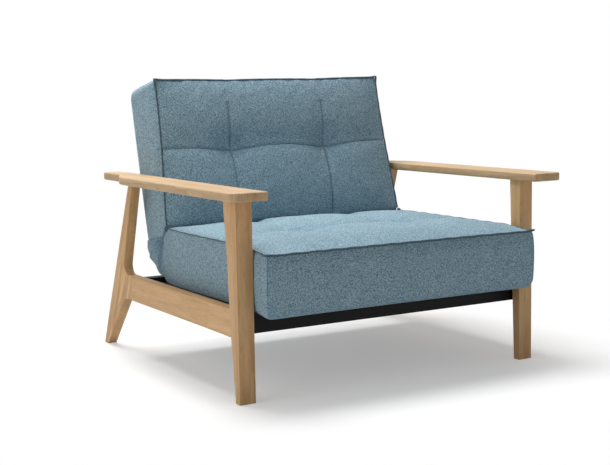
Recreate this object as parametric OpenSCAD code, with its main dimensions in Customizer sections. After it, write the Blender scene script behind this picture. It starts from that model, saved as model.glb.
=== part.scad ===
// Chair bed: oak arm frames, black steel base and a tufted mattress that folds at a click-clack hinge.
// X runs to the right as seen from the front, Y runs to the back, Z is up.
// The origin is on the floor, in the middle of the object's width and depth.

/* [Oak arm frames] */
// Height of the armrest's top face
arm_top_z = 577; // [540:1:620]
// Thickness of the armrest board
arm_t = 24; // [18:1:30]
// Width of the armrest board ahead of its step
arm_w = 106; // [90:1:125]
// How far the armrest reaches ahead of the post
arm_ahead = 80; // [60:1:90]
// Width of the armrest's tail behind its step
arm_tail_w = 63; // [52:1:75]
// Distance from the end of the armrest's tail to the back of the rear foot
arm_tail_ahead = 54; // [30:1:80]
// Thickness of the front posts, across the object
post_t = 48; // [40:1:56]
// Depth of the front post at the floor
post_foot_d = 24; // [20:1:34]
// Depth of the front post under the armrest
post_top_d = 76; // [60:1:80]
// Depth of the front post's inner face under the armrest
post_inner_d = 45; // [36:1:54]
// Thickness of the side rails and rear legs, across the object
rail_t = 31; // [28:1:38]
// How far the side rail reaches past the rear beam, above and below it
rail_under = 6; // [4:1:14]
// Height of the side rail's section
rail_h = 77; // [68:1:84]
// How far the rear foot reaches behind the end of the side rail
leg_reach = 259; // [220:1:300]
// Length of the rear leg's foot on the floor
leg_foot_d = 30; // [24:1:44]
// Depth of the rear leg's top, under the armrest
leg_top_d = 26; // [22:1:34]
// Lean of the rear leg's back edge from the vertical, degrees
leg_lean = 25; // [22:0.5:27]

/* [Steel base] */
// Gap between the front beam and the underside of the seat
beam_gap = 6; // [4:1:12]
// Height of the front beam's section
beam_h = 56; // [47:1:58]
// Depth of both beams' sections
beam_d = 36; // [30:1:42]
// Wall of the beams
beam_wall = 3; // [2:0.5:4]
// Gap between the front posts and the front beam behind them
beam_behind = 2; // [1:0.5:6]
// Distance from the crease of the mattress to the front of the rear beam
rear_beam_back = 96; // [88:1:104]
// Gap between the rear beam and the back when it lies flat
flat_gap = 3; // [2:1:8]
// Width of the two side members
member_w = 25; // [20:1:30]

/* [Mattress] */
// Height of the seat's top seam above the floor
seat_top_z = 418; // [360:1:480]
// Thickness of the seat, between its underside and its top seam
seat_thick = 176; // [160:1:200]
// Length of the seat, from the crease to the front seam
seat_len = 683; // [570:1:810]
// Half the width of the seat at its front corners
seat_half_w = 454; // [380:1:540]
// How much narrower each side of the mattress is at the crease
crease_in = 17; // [14:1:24]
// Thickness of the back
back_thick = 165; // [145:1:176]
// Length of the back, from the crease to its top seam
back_len = 471; // [400:1:540]
// How much narrower each side of the back is at its top corners
back_in = 38; // [30:1:46]
// Height of the crowned top over its seam
crown = 22; // [10:1:26]
// How far the sewn tufts draw the top down
tuft_dip = 18; // [8:1:24]
// Pull of the seams between the tufts
seam_dip = 12; // [4:1:18]
// How far the edge seams are drawn in between two corners
draw_in = 8; // [0:1:12]
// Bulge of the side bands between their seams
band_bulge = 7; // [0:1:9]
// How far the seat reaches ahead of the posts
seat_ahead = 72; // [60:1:85]

/* [Fold] */
// Lean of the back from the vertical in the sitting place, degrees
back_lean = 13; // [10:1:16]
// How far the back tips forward to let the ratchet go, degrees
release_angle = 10; // [8:1:10]
// The lounging stop, degrees back from sitting
lounge_angle = 35; // [30:1:40]
// Depth of the pivot below the two padded faces
pivot_depth = 32; // [30:1:36]
// Radius of the ratchet's toothed rim
rim_r = 40; // [38:1:42]
// Depth of the ratchet's notches
notch_d = 8; // [6:1:9]
// Thickness of the hinge plates
plate_t = 5; // [4:0.5:6]
// Turn of the pawl between clear and engaged, degrees
pawl_turn = 15; // [12:1:17]

/* [Fittings] */
// Diameter of the dowels in the oak frames
dowel_d = 10; // [8:1:10]
// Diameter of the frame bolts
bolt_d = 8; // [6:1:8]
// Outer diameter of the threaded inserts in the oak
insert_d = 12; // [11:1:13]
// Diameter of the pivot pins
pivot_d = 12; // [10:1:14]
// Diameter of the pawl pins
pawl_pin_d = 8; // [7:1:9]
// Diameter of the foot glides
glide_d = 18; // [14:1:20]
// How far the glides hold the oak off the floor
glide_proud = 1; // [1:0.5:3]

/* [Hidden] */

$fn = 48;
// Overrun of every cut past the face it opens
over = 1;
// Gap between a soft piece and what it lies against
soft_gap = 0.4;
// Gap between rigid pieces that are laid or pushed together
fit_gap = 0.1;
// Radial clearance of a turning pin in its bore
run_gap = 0.05;
// Gap between plates that slide past each other
slide_gap = 0.3;

// Places that follow from the driving sizes
crease_half_w = seat_half_w - crease_in;
back_half_w = seat_half_w - back_in;
post_gap = 3;
post_in_x = seat_half_w + post_gap;
frame_half_w = post_in_x + post_t;
post_mid_x = post_in_x + post_t / 2;
rail_in_x = frame_half_w - rail_t;
rail_mid_x = frame_half_w - rail_t / 2;
arm_inset = 6;
arm_in_x = seat_half_w - arm_inset;
arm_z = arm_top_z - arm_t;
seat_z = seat_top_z - seat_thick;
beam_z = seat_z - beam_gap - beam_h;
fold_angle = 90 - back_lean;
crease_y = seat_len - seat_ahead;
pivot_shift = pivot_depth * tan(fold_angle / 2);
pivot_y = crease_y + pivot_shift;
pivot_z = seat_top_z - pivot_depth;
rear_beam_y = crease_y + rear_beam_back;
rear_beam_h = rail_h - 2 * rail_under;
rear_beam_top_z = seat_top_z - back_thick - flat_gap;
rail_z = rear_beam_top_z - rear_beam_h - rail_under;
rail_top_z = rail_z + rail_h;
stub_lap = 8;
stub_y = rear_beam_y + beam_d - stub_lap;
leg_foot_y = stub_y + leg_reach;
arm_back_y = leg_foot_y - arm_tail_ahead;
mid_y = (leg_foot_y - glide_proud * tan(leg_lean) - arm_ahead) / 2;

// Armrest plan
arm_step_back = 57;
arm_step_len = 150;
arm_corner_r = 22;
arm_tail_r = 14;
arm_inner_r = 5;
step_count = 12;

// Front post: share of the height, and the share of the flare that its back edge has there
flare_shares = [[0, 0], [0.33, 0.385], [0.48, 0.48], [0.7, 0.635], [0.85, 0.8], [1, 1]];
// Angle of the bevel that runs from the post's inner face to its back
post_bevel = 41;
bevel_reach = 120;

// Rear leg
leg_crotch_set = 74;
leg_brace_set = 66;
fillet_top_r = 29;
fillet_low_r = 36;
fillet_count = 8;

// Dowels
dowel_deep = 27;
rail_dowel_deep = 18;
arm_dowel_deep = 14;
arm_dowel_shares = [0.26, 0.6];
leg_dowel_d = 8;
leg_dowel_deep = 22;
leg_dowel_spread = 16;
rail_dowel_shares = [0.17, 0.83];

// Feet
glide_t = 4;

// Beams, side members and their bolts
end_plate_t = 5;
end_r = 6;
front_bolt_shares = [0.5, 0.79];
rear_bolt_shares = [0.36, 0.64];
front_bolt_inset = 9;
rear_bolt_set = 13;
bolt_head_d = 13;
bolt_head_h = 5;
bolt_len = 26;
insert_len = 15;
member_wall = 2;
seat_bolt_clear = 2;
seat_bolt_back = 127;
spacer_d = 18;

// Steel tube frames inside the mattress, in the cushions' own places
tube = 20;
tube_wall = 1.5;
tube_h = 14;
seat_frame_y = 14;
frame_near = 20;
back_frame_set = 67;
seat_cross_near = 122;

// Sprung slats
slat_w = 55;
slat_t = 10;
slat_end = 4;
slat_near = 130;
slat_margin = 12;
seat_slat_count = 5;
back_slat_count = 3;

// Hollows in the mattress and what fills them
cloth_t = 1.5;
low_hollow_top = 48;
low_hollow_side = 4;
hollow_roof = 46;
hollow_near = 16;
hollow_far = 44;
rear_wall = 12;
felt_t = 3;
spring_r = 30;
spring_share = 0.55;
seat_spring_grid = [9, 7];
back_spring_grid = [9, 5];

// Hinge plates, by their distance from the middle of the object
hinge_inset = 52;
ratchet_x = crease_half_w - hinge_inset;
seat_plate_x = ratchet_x + plate_t + slide_gap;
back_tube_x = ratchet_x - fit_gap;
seat_tube_x = seat_plate_x + plate_t + fit_gap + tube;
slot_in = 13;
slot_out = 18;
slot_wall = 14;
slot_in_x = ratchet_x - slot_in;
slot_out_x = ratchet_x + slot_out;
core_half_w = slot_in_x - slot_wall;
slot_len = 128;
pad_from = 24;
pad_to = 116;
pad_screw_shares = [0.2, 0.8];
hub_r = 18;
slot_roof = pivot_depth - hub_r - slide_gap;
web_far = 70;
web_drop = 25;
neck_s = 2;
neck_h = 38;
web_root_share = 0.8;
web_root_angle = 70;
screw_d = 6;
screw_head_d = 11;
screw_head_h = 3.2;
screw_tail = 4;
rivet_head_h = 3.6;
rivet_head_r = 9.5;
rivet_tail = 4;

// Ratchet and pawl, seen from the side, about the pivot
rim_from_angle = -130;
rim_to_angle = -12;
tip_angle = -108;
tip_w = 8;
tip_bite = 6;
tip_back = 10;
notch_ahead_angle = 10;
notch_behind_angle = 7.6;
rim_clear = 2;
pawl_boss_r = 9;
pawl_head_r = 6.8;
pawl_head_h = 2.8;
pawl_spring_w = 6.6;
pawl_spring_wall = 2;
arm_bend_angle = -132;
arm_bend_in = 3;
arm_bend_out = 16;

// Gusset round the outside of the fold
gusset_t = 6;
gusset_set = 5;
gusset_r = min(seat_thick, back_thick) - pivot_depth - gusset_set;
gusset_bend = 14;
gusset_bow = 3;
gusset_count = 12;
cheek_t = 8;
cheek_near = 8;
cheek_set = 3;

// Cushion mesh: shares of the width and of the length that its lines of points follow
half_shares = [0, 0.022, 0.07, 0.14, 0.21, 0.27, 0.31, 0.35, 0.42, 0.5];
across_shares = concat(half_shares, [for (k = [len(half_shares) - 2 : -1 : 0]) 1 - half_shares[k]]);
along_shares = [0, 0.03, 0.09, 0.18, 0.28, 0.38, 0.45, 0.5, 0.55, 0.62, 0.72, 0.82, 0.91, 0.97, 1];
tuft_shares = [0.31, 0.69];
cross_share = 0.5;
seam_width_share = 0.035;
cross_width_share = 0.05;
// How much of the cross seam's pull the seams along the cushion have
along_pull_share = 0.4;
tuft_r = 55;
corner_cut = 12;
crease_play = 2.4;
end_gap = 1.5;
front_drop = 11;
drop_from_share = 0.8;
// Rings of the side band: share of the height, share of the edge radius drawn in, share of the bulge
band_shares = [[0, 1, 0], [0.04, 0.4, 0.1], [0.14, 0.05, 0.6], [0.45, 0, 1]];
edge_r = 14;
under_seam = 7;
seam_tuck = 4;
// Shares of the bulge and of the seam's tuck on the last three rings under the seam
top_bulge_shares = [0.8, 0.3, 0];
top_tuck_shares = [0, 0.5, 1];
// How square the arches are over the sides, the corners of the band and the crown
side_power = 3;
band_power = 4;
crown_power = 6;
// How far the seat keeps its full width towards the crease, and the back its even taper
seat_taper = 8;
back_taper = 1;
near_tuck_share = 0.45;
corner_bulge_share = 0.4;

// Each crease edge stands back by half of what the forward tip moves it, and a little more
crease_clear = pivot_depth / cos(fold_angle / 2) * sin(release_angle) / 2 + crease_play;

// Helpers for arcs and soft steps
function dir(angle) = [cos(angle), sin(angle)];
function fan(c, r, from, to, n) = [for (k = [0 : n]) c + r * dir(from + (to - from) * k / n)];
function ease(t) = (1 - cos(180 * min(max(t, 0), 1))) / 2;
function bell(t) = exp(-t * t);

// Moves a piece drawn from the front face of the posts into the object's frame
module place() translate([0, -mid_y, 0]) children();

// A piece drawn at the right, or its mirror image at the left
module side(s) {
    if (s < 0) mirror([1, 0, 0]) children();
    else children();
}

// Extrudes an outline in Y and Z from x0 to x1
module slab(x0, x1) translate([x0, 0, 0]) rotate([90, 0, 90])
    linear_extrude(x1 - x0) children();

// A round bar or bore along X, from x0 to x1, at a point in Y and Z
module bar_x(at, r, x0, x1) translate([x0, at[0], at[1]]) rotate([0, 90, 0])
    cylinder(r = r, h = x1 - x0);

// A round bar or bore along Y, from y0 to y1
module bar_y(x, z, r, y0, y1) translate([x, y0, z]) rotate([-90, 0, 0])
    cylinder(r = r, h = y1 - y0);

// Oak arm frames

function post_back(z) = post_foot_d + (post_top_d - post_foot_d) * lookup(z / arm_z, flare_shares);
function leg_back(z) = leg_foot_y - z * tan(leg_lean);

// Side view of the leg: its front edge runs to the crotch over the rail, its brace from the rail to the foot
leg_crotch = [stub_y + leg_crotch_set, rail_top_z];
leg_brace = [stub_y + leg_brace_set, rail_z];
leg_front_lean = atan((leg_crotch[0] - leg_back(arm_z) + leg_top_d) / (arm_z - rail_top_z));
leg_brace_lean = atan((leg_foot_y - leg_foot_d - leg_brace[0]) / rail_z);
function leg_front(z) = leg_crotch[0] - (z - rail_top_z) * tan(leg_front_lean);

arm_dowel_y = [for (s = arm_dowel_shares) post_top_d * s];
leg_dowel_y = (leg_front(arm_z - leg_dowel_deep / 2) + leg_back(arm_z - leg_dowel_deep / 2)) / 2;
leg_dowel_x = [rail_mid_x - leg_dowel_spread / 2, rail_mid_x + leg_dowel_spread / 2];
rail_dowel_z = [for (t = rail_dowel_shares) rail_z + rail_h * t];
glide_places = [[post_mid_x, post_foot_d / 2],
    [rail_mid_x, leg_foot_y - (leg_foot_d + glide_t * tan(leg_lean)) / 2]];

module arm_outline() {
    out_x = arm_in_x + arm_w;
    tail_x = arm_in_x + arm_tail_w;
    step_y = crease_y + arm_step_back;
    polygon(concat(
        fan([arm_in_x + arm_inner_r, arm_inner_r - arm_ahead], arm_inner_r, 180, 270, fillet_count),
        fan([out_x - arm_corner_r, arm_corner_r - arm_ahead], arm_corner_r, 270, 360, fillet_count),
        [for (k = [0 : step_count])
            [out_x - (out_x - tail_x) * ease(k / step_count), step_y + arm_step_len * k / step_count]],
        fan([tail_x - arm_tail_r, arm_back_y - arm_tail_r], arm_tail_r, 0, 90, fillet_count),
        fan([arm_in_x + arm_inner_r, arm_back_y - arm_inner_r], arm_inner_r, 90, 180, fillet_count)
    ));
}

// Every dowel of one arm frame, or its bore when grow is the clearance
module dowels(grow) {
    end = grow == 0 ? fit_gap : 0;
    for (y = arm_dowel_y) translate([post_mid_x, y, arm_z - dowel_deep + end])
        cylinder(d = dowel_d + 2 * grow, h = dowel_deep + arm_dowel_deep - 2 * end);
    for (x = leg_dowel_x) translate([x, leg_dowel_y, arm_z - leg_dowel_deep + end])
        cylinder(d = leg_dowel_d + 2 * grow, h = leg_dowel_deep + arm_dowel_deep - 2 * end);
    for (z = rail_dowel_z, joint = [[post_back(z), rail_dowel_deep], [stub_y, dowel_deep]])
        bar_y(rail_mid_x, z, dowel_d / 2 + grow, joint[0] - dowel_deep + end, joint[0] + joint[1] - end);
}

module glides(grow) {
    for (p = glide_places) translate([p[0], p[1], 0]) cylinder(d = glide_d + 2 * grow, h = glide_t + grow);
}

module armrest(s) {
    color("burlywood") place() side(s) difference() {
        translate([0, 0, arm_z]) linear_extrude(arm_t) arm_outline();
        dowels(fit_gap);
    }
}

module post_outline() {
    polygon(concat([[0, glide_proud]],
        [for (f = flare_shares) [post_back(max(f[0] * arm_z, glide_proud)), max(f[0] * arm_z, glide_proud)]],
        [[0, arm_z]]));
}

// What the bevel takes off the post, from the floor to past its top
module bevel_cut() {
    lean = atan((post_inner_d - post_foot_d) * cos(post_bevel) / arm_z);
    translate([post_in_x, post_foot_d, 0]) rotate([-lean, 0, post_bevel])
        translate([-bevel_reach, 0, -bevel_reach]) cube([2 * bevel_reach, bevel_reach, arm_z + 2 * bevel_reach]);
}

module front_post(s) {
    color("burlywood") place() side(s) difference() {
        slab(post_in_x, frame_half_w) post_outline();
        bevel_cut();
        dowels(fit_gap);
        glides(fit_gap);
    }
}

// Side view of the rear leg, with the stub that the rail meets
module leg_outline() {
    top_run = fillet_top_r / tan((90 - leg_front_lean) / 2);
    low_run = fillet_low_r / tan((90 + leg_brace_lean) / 2);
    foot_front = leg_foot_y - leg_foot_d - glide_proud * tan(leg_brace_lean);
    polygon(concat(
        [[stub_y, rail_z]],
        fan(leg_brace - [low_run, fillet_low_r], fillet_low_r, 90, leg_brace_lean, fillet_count),
        [[foot_front, glide_proud], [leg_back(glide_proud), glide_proud]],
        [[leg_back(arm_z), arm_z], [leg_front(arm_z), arm_z]],
        fan(leg_crotch + [-top_run, fillet_top_r], fillet_top_r, leg_front_lean, -90, fillet_count),
        [[stub_y, rail_top_z]]
    ));
}

module rear_leg(s) {
    color("burlywood") place() side(s) difference() {
        slab(rail_in_x, frame_half_w) leg_outline();
        dowels(fit_gap);
        glides(fit_gap);
    }
}

module side_rail(s) {
    color("burlywood") place() side(s) difference() {
        slab(rail_in_x, frame_half_w) difference() {
            translate([0, rail_z]) square([stub_y, rail_h]);
            post_outline();
        }
        dowels(fit_gap);
        for (at = beam_bolts) insert_bore(at);
    }
}

module frame_dowels() {
    color("tan") place() for (s = [-1, 1]) side(s) dowels(0);
}

module foot_glides() {
    color("dimgray") place() for (s = [-1, 1]) side(s) glides(0);
}

// Steel base

// Setback of the front beam behind the front face of the posts
beam_set = post_back(seat_z - beam_gap) + beam_behind;
front_bolt_y = beam_set + beam_d - front_bolt_inset;
front_bolt_z = [for (t = front_bolt_shares) beam_z + beam_h * t];
rear_bolt_y = rear_beam_y + rear_bolt_set;
rear_bolt_z = [for (t = rear_bolt_shares) rear_beam_top_z - rear_beam_h * (1 - t)];
beam_bolts = concat([for (z = front_bolt_z) [front_bolt_y, z]], [for (z = rear_bolt_z) [rear_bolt_y, z]]);
member_x = seat_tube_x - tube / 2;
member_low = beam_z + beam_wall + fit_gap;
member_top = beam_z + beam_h - beam_wall - fit_gap;
seat_bolt_y = [beam_set + beam_d + spacer_d / 2 + seat_bolt_clear, crease_y - seat_bolt_back];
seat_tube_z = seat_z + tube_h;

// Bore for a threaded insert and the bolt behind it, drilled outwards from a rail's inner face
module insert_bore(at) {
    bar_x(at, insert_d / 2 + fit_gap, rail_in_x - over, rail_in_x + insert_len + fit_gap);
    bar_x(at, bolt_d / 2 + fit_gap, rail_in_x, rail_in_x + bolt_len - end_plate_t + fit_gap);
}

// Channel that is open to the back, drawn in Y and Z
module channel_outline(h) {
    difference() {
        square([beam_d, h]);
        translate([beam_wall, beam_wall]) square([beam_d, h - 2 * beam_wall]);
    }
}

// End plate in Y and Z, with round lower corners
module plate_outline(h) {
    polygon(concat(
        fan([end_r, end_r], end_r, 180, 270, fillet_count),
        fan([beam_d - end_r, end_r], end_r, 270, 360, fillet_count),
        [[beam_d, h], [0, h]]
    ));
}

// One beam between the inner faces of the rails, from its lower front corner
module beam(y, z, h, bolt_y, bolt_z) {
    out_x = rail_in_x - fit_gap;
    difference() {
        union() {
            translate([0, y, z]) slab(-out_x + over, out_x - over) channel_outline(h);
            for (s = [-1, 1]) side(s) translate([0, y, z])
                slab(out_x - end_plate_t, out_x) plate_outline(h);
        }
        for (s = [-1, 1], bz = bolt_z) side(s)
            bar_x([bolt_y, bz], bolt_d / 2 + fit_gap, out_x - end_plate_t - over, out_x + over);
    }
}

module front_beam() {
    color("#1c1c1e") place()
        beam(beam_set, beam_z, beam_h, front_bolt_y, front_bolt_z);
}

module rear_beam() {
    color("#1c1c1e") place()
        beam(rear_beam_y, rear_beam_top_z - rear_beam_h, rear_beam_h, rear_bolt_y, rear_bolt_z);
}

module side_member(s) {
    y0 = beam_set + beam_wall + fit_gap;
    member_l = rear_beam_y - fit_gap - y0;
    member_h = member_top - member_low;
    color("#1c1c1e") place() side(s) difference() {
        translate([member_x - member_w / 2, y0, member_low]) cube([member_w, member_l, member_h]);
        translate([member_x - member_w / 2 + member_wall, y0 - over, member_low + member_wall])
            cube([member_w - 2 * member_wall, member_l + 2 * over, member_h - 2 * member_wall]);
        for (y = seat_bolt_y) translate([member_x, y, member_low - over])
            cylinder(d = bolt_d + 2 * fit_gap, h = member_h + 2 * over);
    }
}

module frame_bolt(at) {
    under = rail_in_x - fit_gap - end_plate_t - fit_gap;
    bar_x(at, bolt_head_d / 2, under - bolt_head_h, under);
    bar_x(at, bolt_d / 2, under - fit_gap, under + bolt_len);
}

module frame_bolts() {
    color("gainsboro") place() for (s = [-1, 1], at = beam_bolts) side(s) frame_bolt(at);
}

module thread_insert(at) {
    difference() {
        bar_x(at, insert_d / 2, rail_in_x + fit_gap, rail_in_x + insert_len);
        bar_x(at, bolt_d / 2 + fit_gap, rail_in_x - over, rail_in_x + insert_len + over);
    }
}

module thread_inserts() {
    color("goldenrod") place() for (s = [-1, 1], at = beam_bolts) side(s) thread_insert(at);
}

module seat_bolts() {
    top = seat_tube_z + tube - fit_gap;
    color("gainsboro") place() for (s = [-1, 1], y = seat_bolt_y) side(s) translate([member_x, y, 0]) {
        translate([0, 0, member_low - fit_gap - bolt_head_h]) cylinder(d = bolt_head_d, h = bolt_head_h);
        translate([0, 0, member_low - 2 * fit_gap]) cylinder(d = bolt_d, h = top - member_low + 2 * fit_gap);
    }
}

module seat_spacers() {
    z0 = member_top + fit_gap;
    color("dimgray") place() for (s = [-1, 1], y = seat_bolt_y) side(s) translate([member_x, y, z0])
        difference() {
            cylinder(d = spacer_d, h = seat_tube_z - fit_gap - z0);
            translate([0, 0, -over]) cylinder(d = bolt_d + 2 * fit_gap, h = seat_tube_z - z0 + 2 * over);
        }
}

// Cushions, drawn from the crease: X across, Y along the cushion, Z up from its outer face

module in_seat() place() translate([0, crease_y, seat_top_z]) mirror([0, 1, 0])
    translate([0, 0, -seat_thick]) children();

module in_back() place() translate([0, crease_y, seat_top_z]) rotate([fold_angle, 0, 0])
    translate([0, 0, -back_thick]) children();

function arch(t, n) = 1 - pow(abs(2 * t - 1), n);
// Half the width at the share b of the length, for a cushion that is far_w wide at its far end
function half_w(b, far_w, taper) = far_w + (crease_half_w - far_w) * pow(1 - b, taper);
function seam_drop(b, drop) = drop * ease((b - drop_from_share) / (1 - drop_from_share));
function near_edge(h, th) = h <= th - pivot_depth ? end_gap - pivot_shift
    : end_gap - pivot_shift + (h - th + pivot_depth) * (crease_clear + pivot_shift - end_gap) / pivot_depth;

// A point at the shares a and b of a cushion's plan; inset draws it in, bulge pushes it out
function bulged(t, bulge) = bulge * (corner_bulge_share + (1 - corner_bulge_share) * arch(t, band_power));
function plan(a, b, h, th, l, widths, taper, inset, bulge, cut) =
    let (far_w = widths[0] + (widths[1] - widths[0]) * h / th,
        near = near_edge(h, th) + inset * near_tuck_share,
        far = l - draw_in * arch(a, side_power) - inset + bulged(a, bulge),
        drawn = draw_in * arch(b, side_power) * min(b / cross_share, 1),
        w = half_w(b, far_w, taper) - drawn - inset + bulged(b, bulge),
        corner = cut * (abs(2 * a - 1) == 1 && b == 1 ? 1 : 0))
    [(2 * a - 1) * (w - corner), near + b * (far - near) - corner];

function tufted(a, b, l, far_w) =
    let (edge = arch(a, crown_power) * arch(b, crown_power),
        seams = max([for (t = tuft_shares) bell((a - t) / seam_width_share)]),
        cross = bell((b - cross_share) / cross_width_share),
        tufts = max([for (t = tuft_shares)
            bell(norm([(a - t) * 2 * far_w, (b - cross_share) * l]) / tuft_r)]))
    edge * (crown - seam_dip * max(along_pull_share * seams, cross) - tuft_dip * tufts);

// The closed form of one cushion: rings up its band, then a grid over its crowned top.
// Its widths at the far end are those of its outer and of its padded face.
module cushion(th, l, widths, taper, drop) {
    na = len(across_shares) - 1;
    nb = len(along_shares) - 1;
    border = concat(
        [for (i = [0 : na - 1]) [i, 0]], [for (j = [0 : nb - 1]) [na, j]],
        [for (i = [na : -1 : 1]) [i, nb]], [for (j = [nb : -1 : 1]) [0, j]]);
    n = len(border);
    upper = [pivot_depth, 2 * under_seam, under_seam / 2];
    rings = concat([for (r = band_shares) [r[0] * th, r[1] * edge_r, r[2] * band_bulge]], [for (k = [0 : 2])
        [th - upper[k], seam_tuck * top_tuck_shares[k], band_bulge * top_bulge_shares[k]]]);
    ring_points = [for (r = rings, k = border)
        let (a = across_shares[k[0]], b = along_shares[k[1]],
            z = r[0] - seam_drop(b, drop) * r[0] / th,
            p = plan(a, b, r[0], th, l, widths, taper, r[1], r[2], corner_cut))
        [p[0], p[1], z]];
    top_points = [for (b = along_shares, a = across_shares)
        let (p = plan(a, b, th, th, l, widths, taper, 0, 0, corner_cut / 2))
        [p[0], p[1], th - seam_drop(b, drop) + tufted(a, b, l, widths[1])]];
    grid = len(ring_points);
    function top_index(k) = grid + border[k % n][1] * (na + 1) + border[k % n][0];
    bands = [for (r = [0 : len(rings) - 2], k = [0 : n - 1])
        let (a = r * n + k, b = r * n + (k + 1) % n) each [[a, b + n, b], [a, a + n, b + n]]];
    hem = [for (k = [0 : n - 1])
        let (a = (len(rings) - 1) * n + k, b = (len(rings) - 1) * n + (k + 1) % n)
        each [[a, top_index(k + 1), b], [a, top_index(k), top_index(k + 1)]]];
    top = [for (j = [0 : nb - 1], i = [0 : na - 1])
        let (a = grid + j * (na + 1) + i, b = a + na + 1) each [[a, b + 1, a + 1], [a, b, b + 1]]];
    under = [for (k = [0 : n - 1]) [k, (k + 1) % n, grid + (na + 1) * (nb + 1)]];
    polyhedron(concat(ring_points, top_points, [[0, l / 2, 0]]), concat(under, bands, hem, top));
}

// Hollows of a cushion: one for the frame, one for springs and foam, and a slot for each hinge
module hollows(th, l, tube_x, floor_h) {
    low_w = tube_x + low_hollow_side;
    core_w = core_half_w + soft_gap;
    long = l - hollow_far - hollow_near;
    translate([-low_w, hollow_near, floor_h]) cube([2 * low_w, long, low_hollow_top - floor_h]);
    translate([-core_w, hollow_near, floor_h]) cube([2 * core_w, long, th - hollow_roof - floor_h]);
    for (s = [-1, 1]) side(s) translate([slot_in_x, -pivot_shift - rim_r, rear_wall])
        cube([slot_out_x - slot_in_x, slot_len + pivot_shift + rim_r, th - slot_roof - rear_wall]);
}

// Steel frame of a cushion: two side tubes and two cross tubes, hollow right through
module tube_frame(tube_x, cross_near, far) {
    inner = tube - 2 * tube_wall;
    side_l = far - frame_near;
    difference() {
        union() {
            for (s = [-1, 1]) side(s) translate([tube_x - tube, frame_near, tube_h])
                cube([tube, side_l, tube]);
            for (y = [cross_near, far - tube]) translate([-tube_x + tube / 2, y, tube_h])
                cube([2 * tube_x - tube, tube, tube]);
        }
        for (s = [-1, 1]) side(s)
            translate([tube_x - tube + tube_wall, frame_near - over, tube_h + tube_wall])
                cube([inner, side_l + 2 * over, inner]);
        for (y = [cross_near, far - tube])
            translate([-tube_x + tube / 2, y + tube_wall, tube_h + tube_wall])
                cube([2 * tube_x - tube, inner, inner]);
    }
}

module slats(tube_x, far, count) {
    half_l = tube_x - slat_end;
    pitch = (far - slat_margin - slat_w - slat_near) / (count - 1);
    for (k = [0 : count - 1]) translate([-half_l, slat_near + k * pitch, tube_h + tube + fit_gap])
        cube([2 * half_l, slat_w, slat_t]);
}

core_h = tube_h + tube + slat_t + soft_gap;
function foam_h(th) = core_h + (th - hollow_roof - core_h) * spring_share + soft_gap;

// Felt sheet with rows of pocket springs standing on it
module spring_core(th, l, grid) {
    felt_l = l - hollow_far - hollow_near - 2 * soft_gap;
    translate([-core_half_w, hollow_near + soft_gap, core_h]) cube([2 * core_half_w, felt_l, felt_t]);
    for (i = [0 : grid[0] - 1], j = [0 : grid[1] - 1])
        translate([core_half_w * (2 * i + 1 - grid[0]) / grid[0],
            hollow_near + soft_gap + felt_l * (2 * j + 1) / (2 * grid[1]), core_h])
            cylinder(r = spring_r, h = foam_h(th) - soft_gap - core_h);
}

module foam(th, l) {
    foam_l = l - hollow_far - hollow_near - 2 * soft_gap;
    translate([-core_half_w, hollow_near + soft_gap, foam_h(th)])
        cube([2 * core_half_w, foam_l, th - hollow_roof - soft_gap - foam_h(th)]);
}

seat_frame_far = crease_y - seat_frame_y;
back_frame_far = back_len - back_frame_set;

module seat_frame() {
    color("slategray") difference() {
        in_seat() tube_frame(seat_tube_x, seat_cross_near, seat_frame_far);
        place() for (s = [-1, 1], y = seat_bolt_y) side(s) translate([member_x, y, seat_tube_z - over])
            cylinder(d = bolt_d + 2 * fit_gap, h = tube + 2 * over);
        in_seat() pad_bores(seat_tube_x);
    }
}

module seat_slats() {
    color("wheat") in_seat() slats(seat_tube_x, seat_frame_far, seat_slat_count);
}

module seat_spring_core() {
    color("whitesmoke") in_seat() spring_core(seat_thick, seat_len, seat_spring_grid);
}

module seat_foam() {
    color("lightyellow") in_seat() foam(seat_thick, seat_len);
}

module seat_cover() {
    color("#5f8297") in_seat() difference() {
        cushion(seat_thick, seat_len, [seat_half_w, seat_half_w], seat_taper, front_drop);
        hollows(seat_thick, seat_len, seat_tube_x, -over);
    }
}

module seat_dust_cloth() {
    w = seat_tube_x + low_hollow_side - soft_gap;
    color("#202224") difference() {
        in_seat() translate([-w, hollow_near + soft_gap, 0])
            cube([2 * w, seat_len - hollow_far - hollow_near - 2 * soft_gap, cloth_t]);
        place() for (s = [-1, 1], y = seat_bolt_y) side(s) translate([member_x, y, seat_z - over])
            cylinder(d = spacer_d + 2 * soft_gap, h = cloth_t + 2 * over);
    }
}

module back_frame() {
    color("slategray") in_back() difference() {
        tube_frame(back_tube_x, frame_near, back_frame_far);
        pad_bores(back_tube_x);
    }
}

module back_slats() {
    color("wheat") in_back() slats(back_tube_x, back_frame_far, back_slat_count);
}

module back_spring_core() {
    color("whitesmoke") in_back() spring_core(back_thick, back_len, back_spring_grid);
}

module back_foam() {
    color("lightyellow") in_back() foam(back_thick, back_len);
}

module back_cover() {
    color("#5f8297") in_back() difference() {
        cushion(back_thick, back_len, [crease_half_w, back_half_w], back_taper, 0);
        hollows(back_thick, back_len, back_tube_x, rear_wall);
    }
}

// Click-clack hinge

pad_screw_y = [for (t = pad_screw_shares) pad_from + (pad_to - pad_from) * t];
pad_screw_h = tube_h + tube / 2;
function pivot_at(th) = [-pivot_shift, th - pivot_depth];

// Web of a hinge plate about the pivot, in a cushion's side view: hub at the pivot, pad along the tube
module web_outline(th) {
    p = pivot_at(th);
    hub = hub_r * web_root_share;
    polygon([[-neck_s, -neck_h], [pad_from, tube_h] - p, [pad_to, tube_h] - p, [pad_to, tube_h + tube] - p,
        [web_far - p[0], -web_drop], hub * dir(web_root_angle), hub * dir(web_root_angle + 90)]);
}

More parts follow.
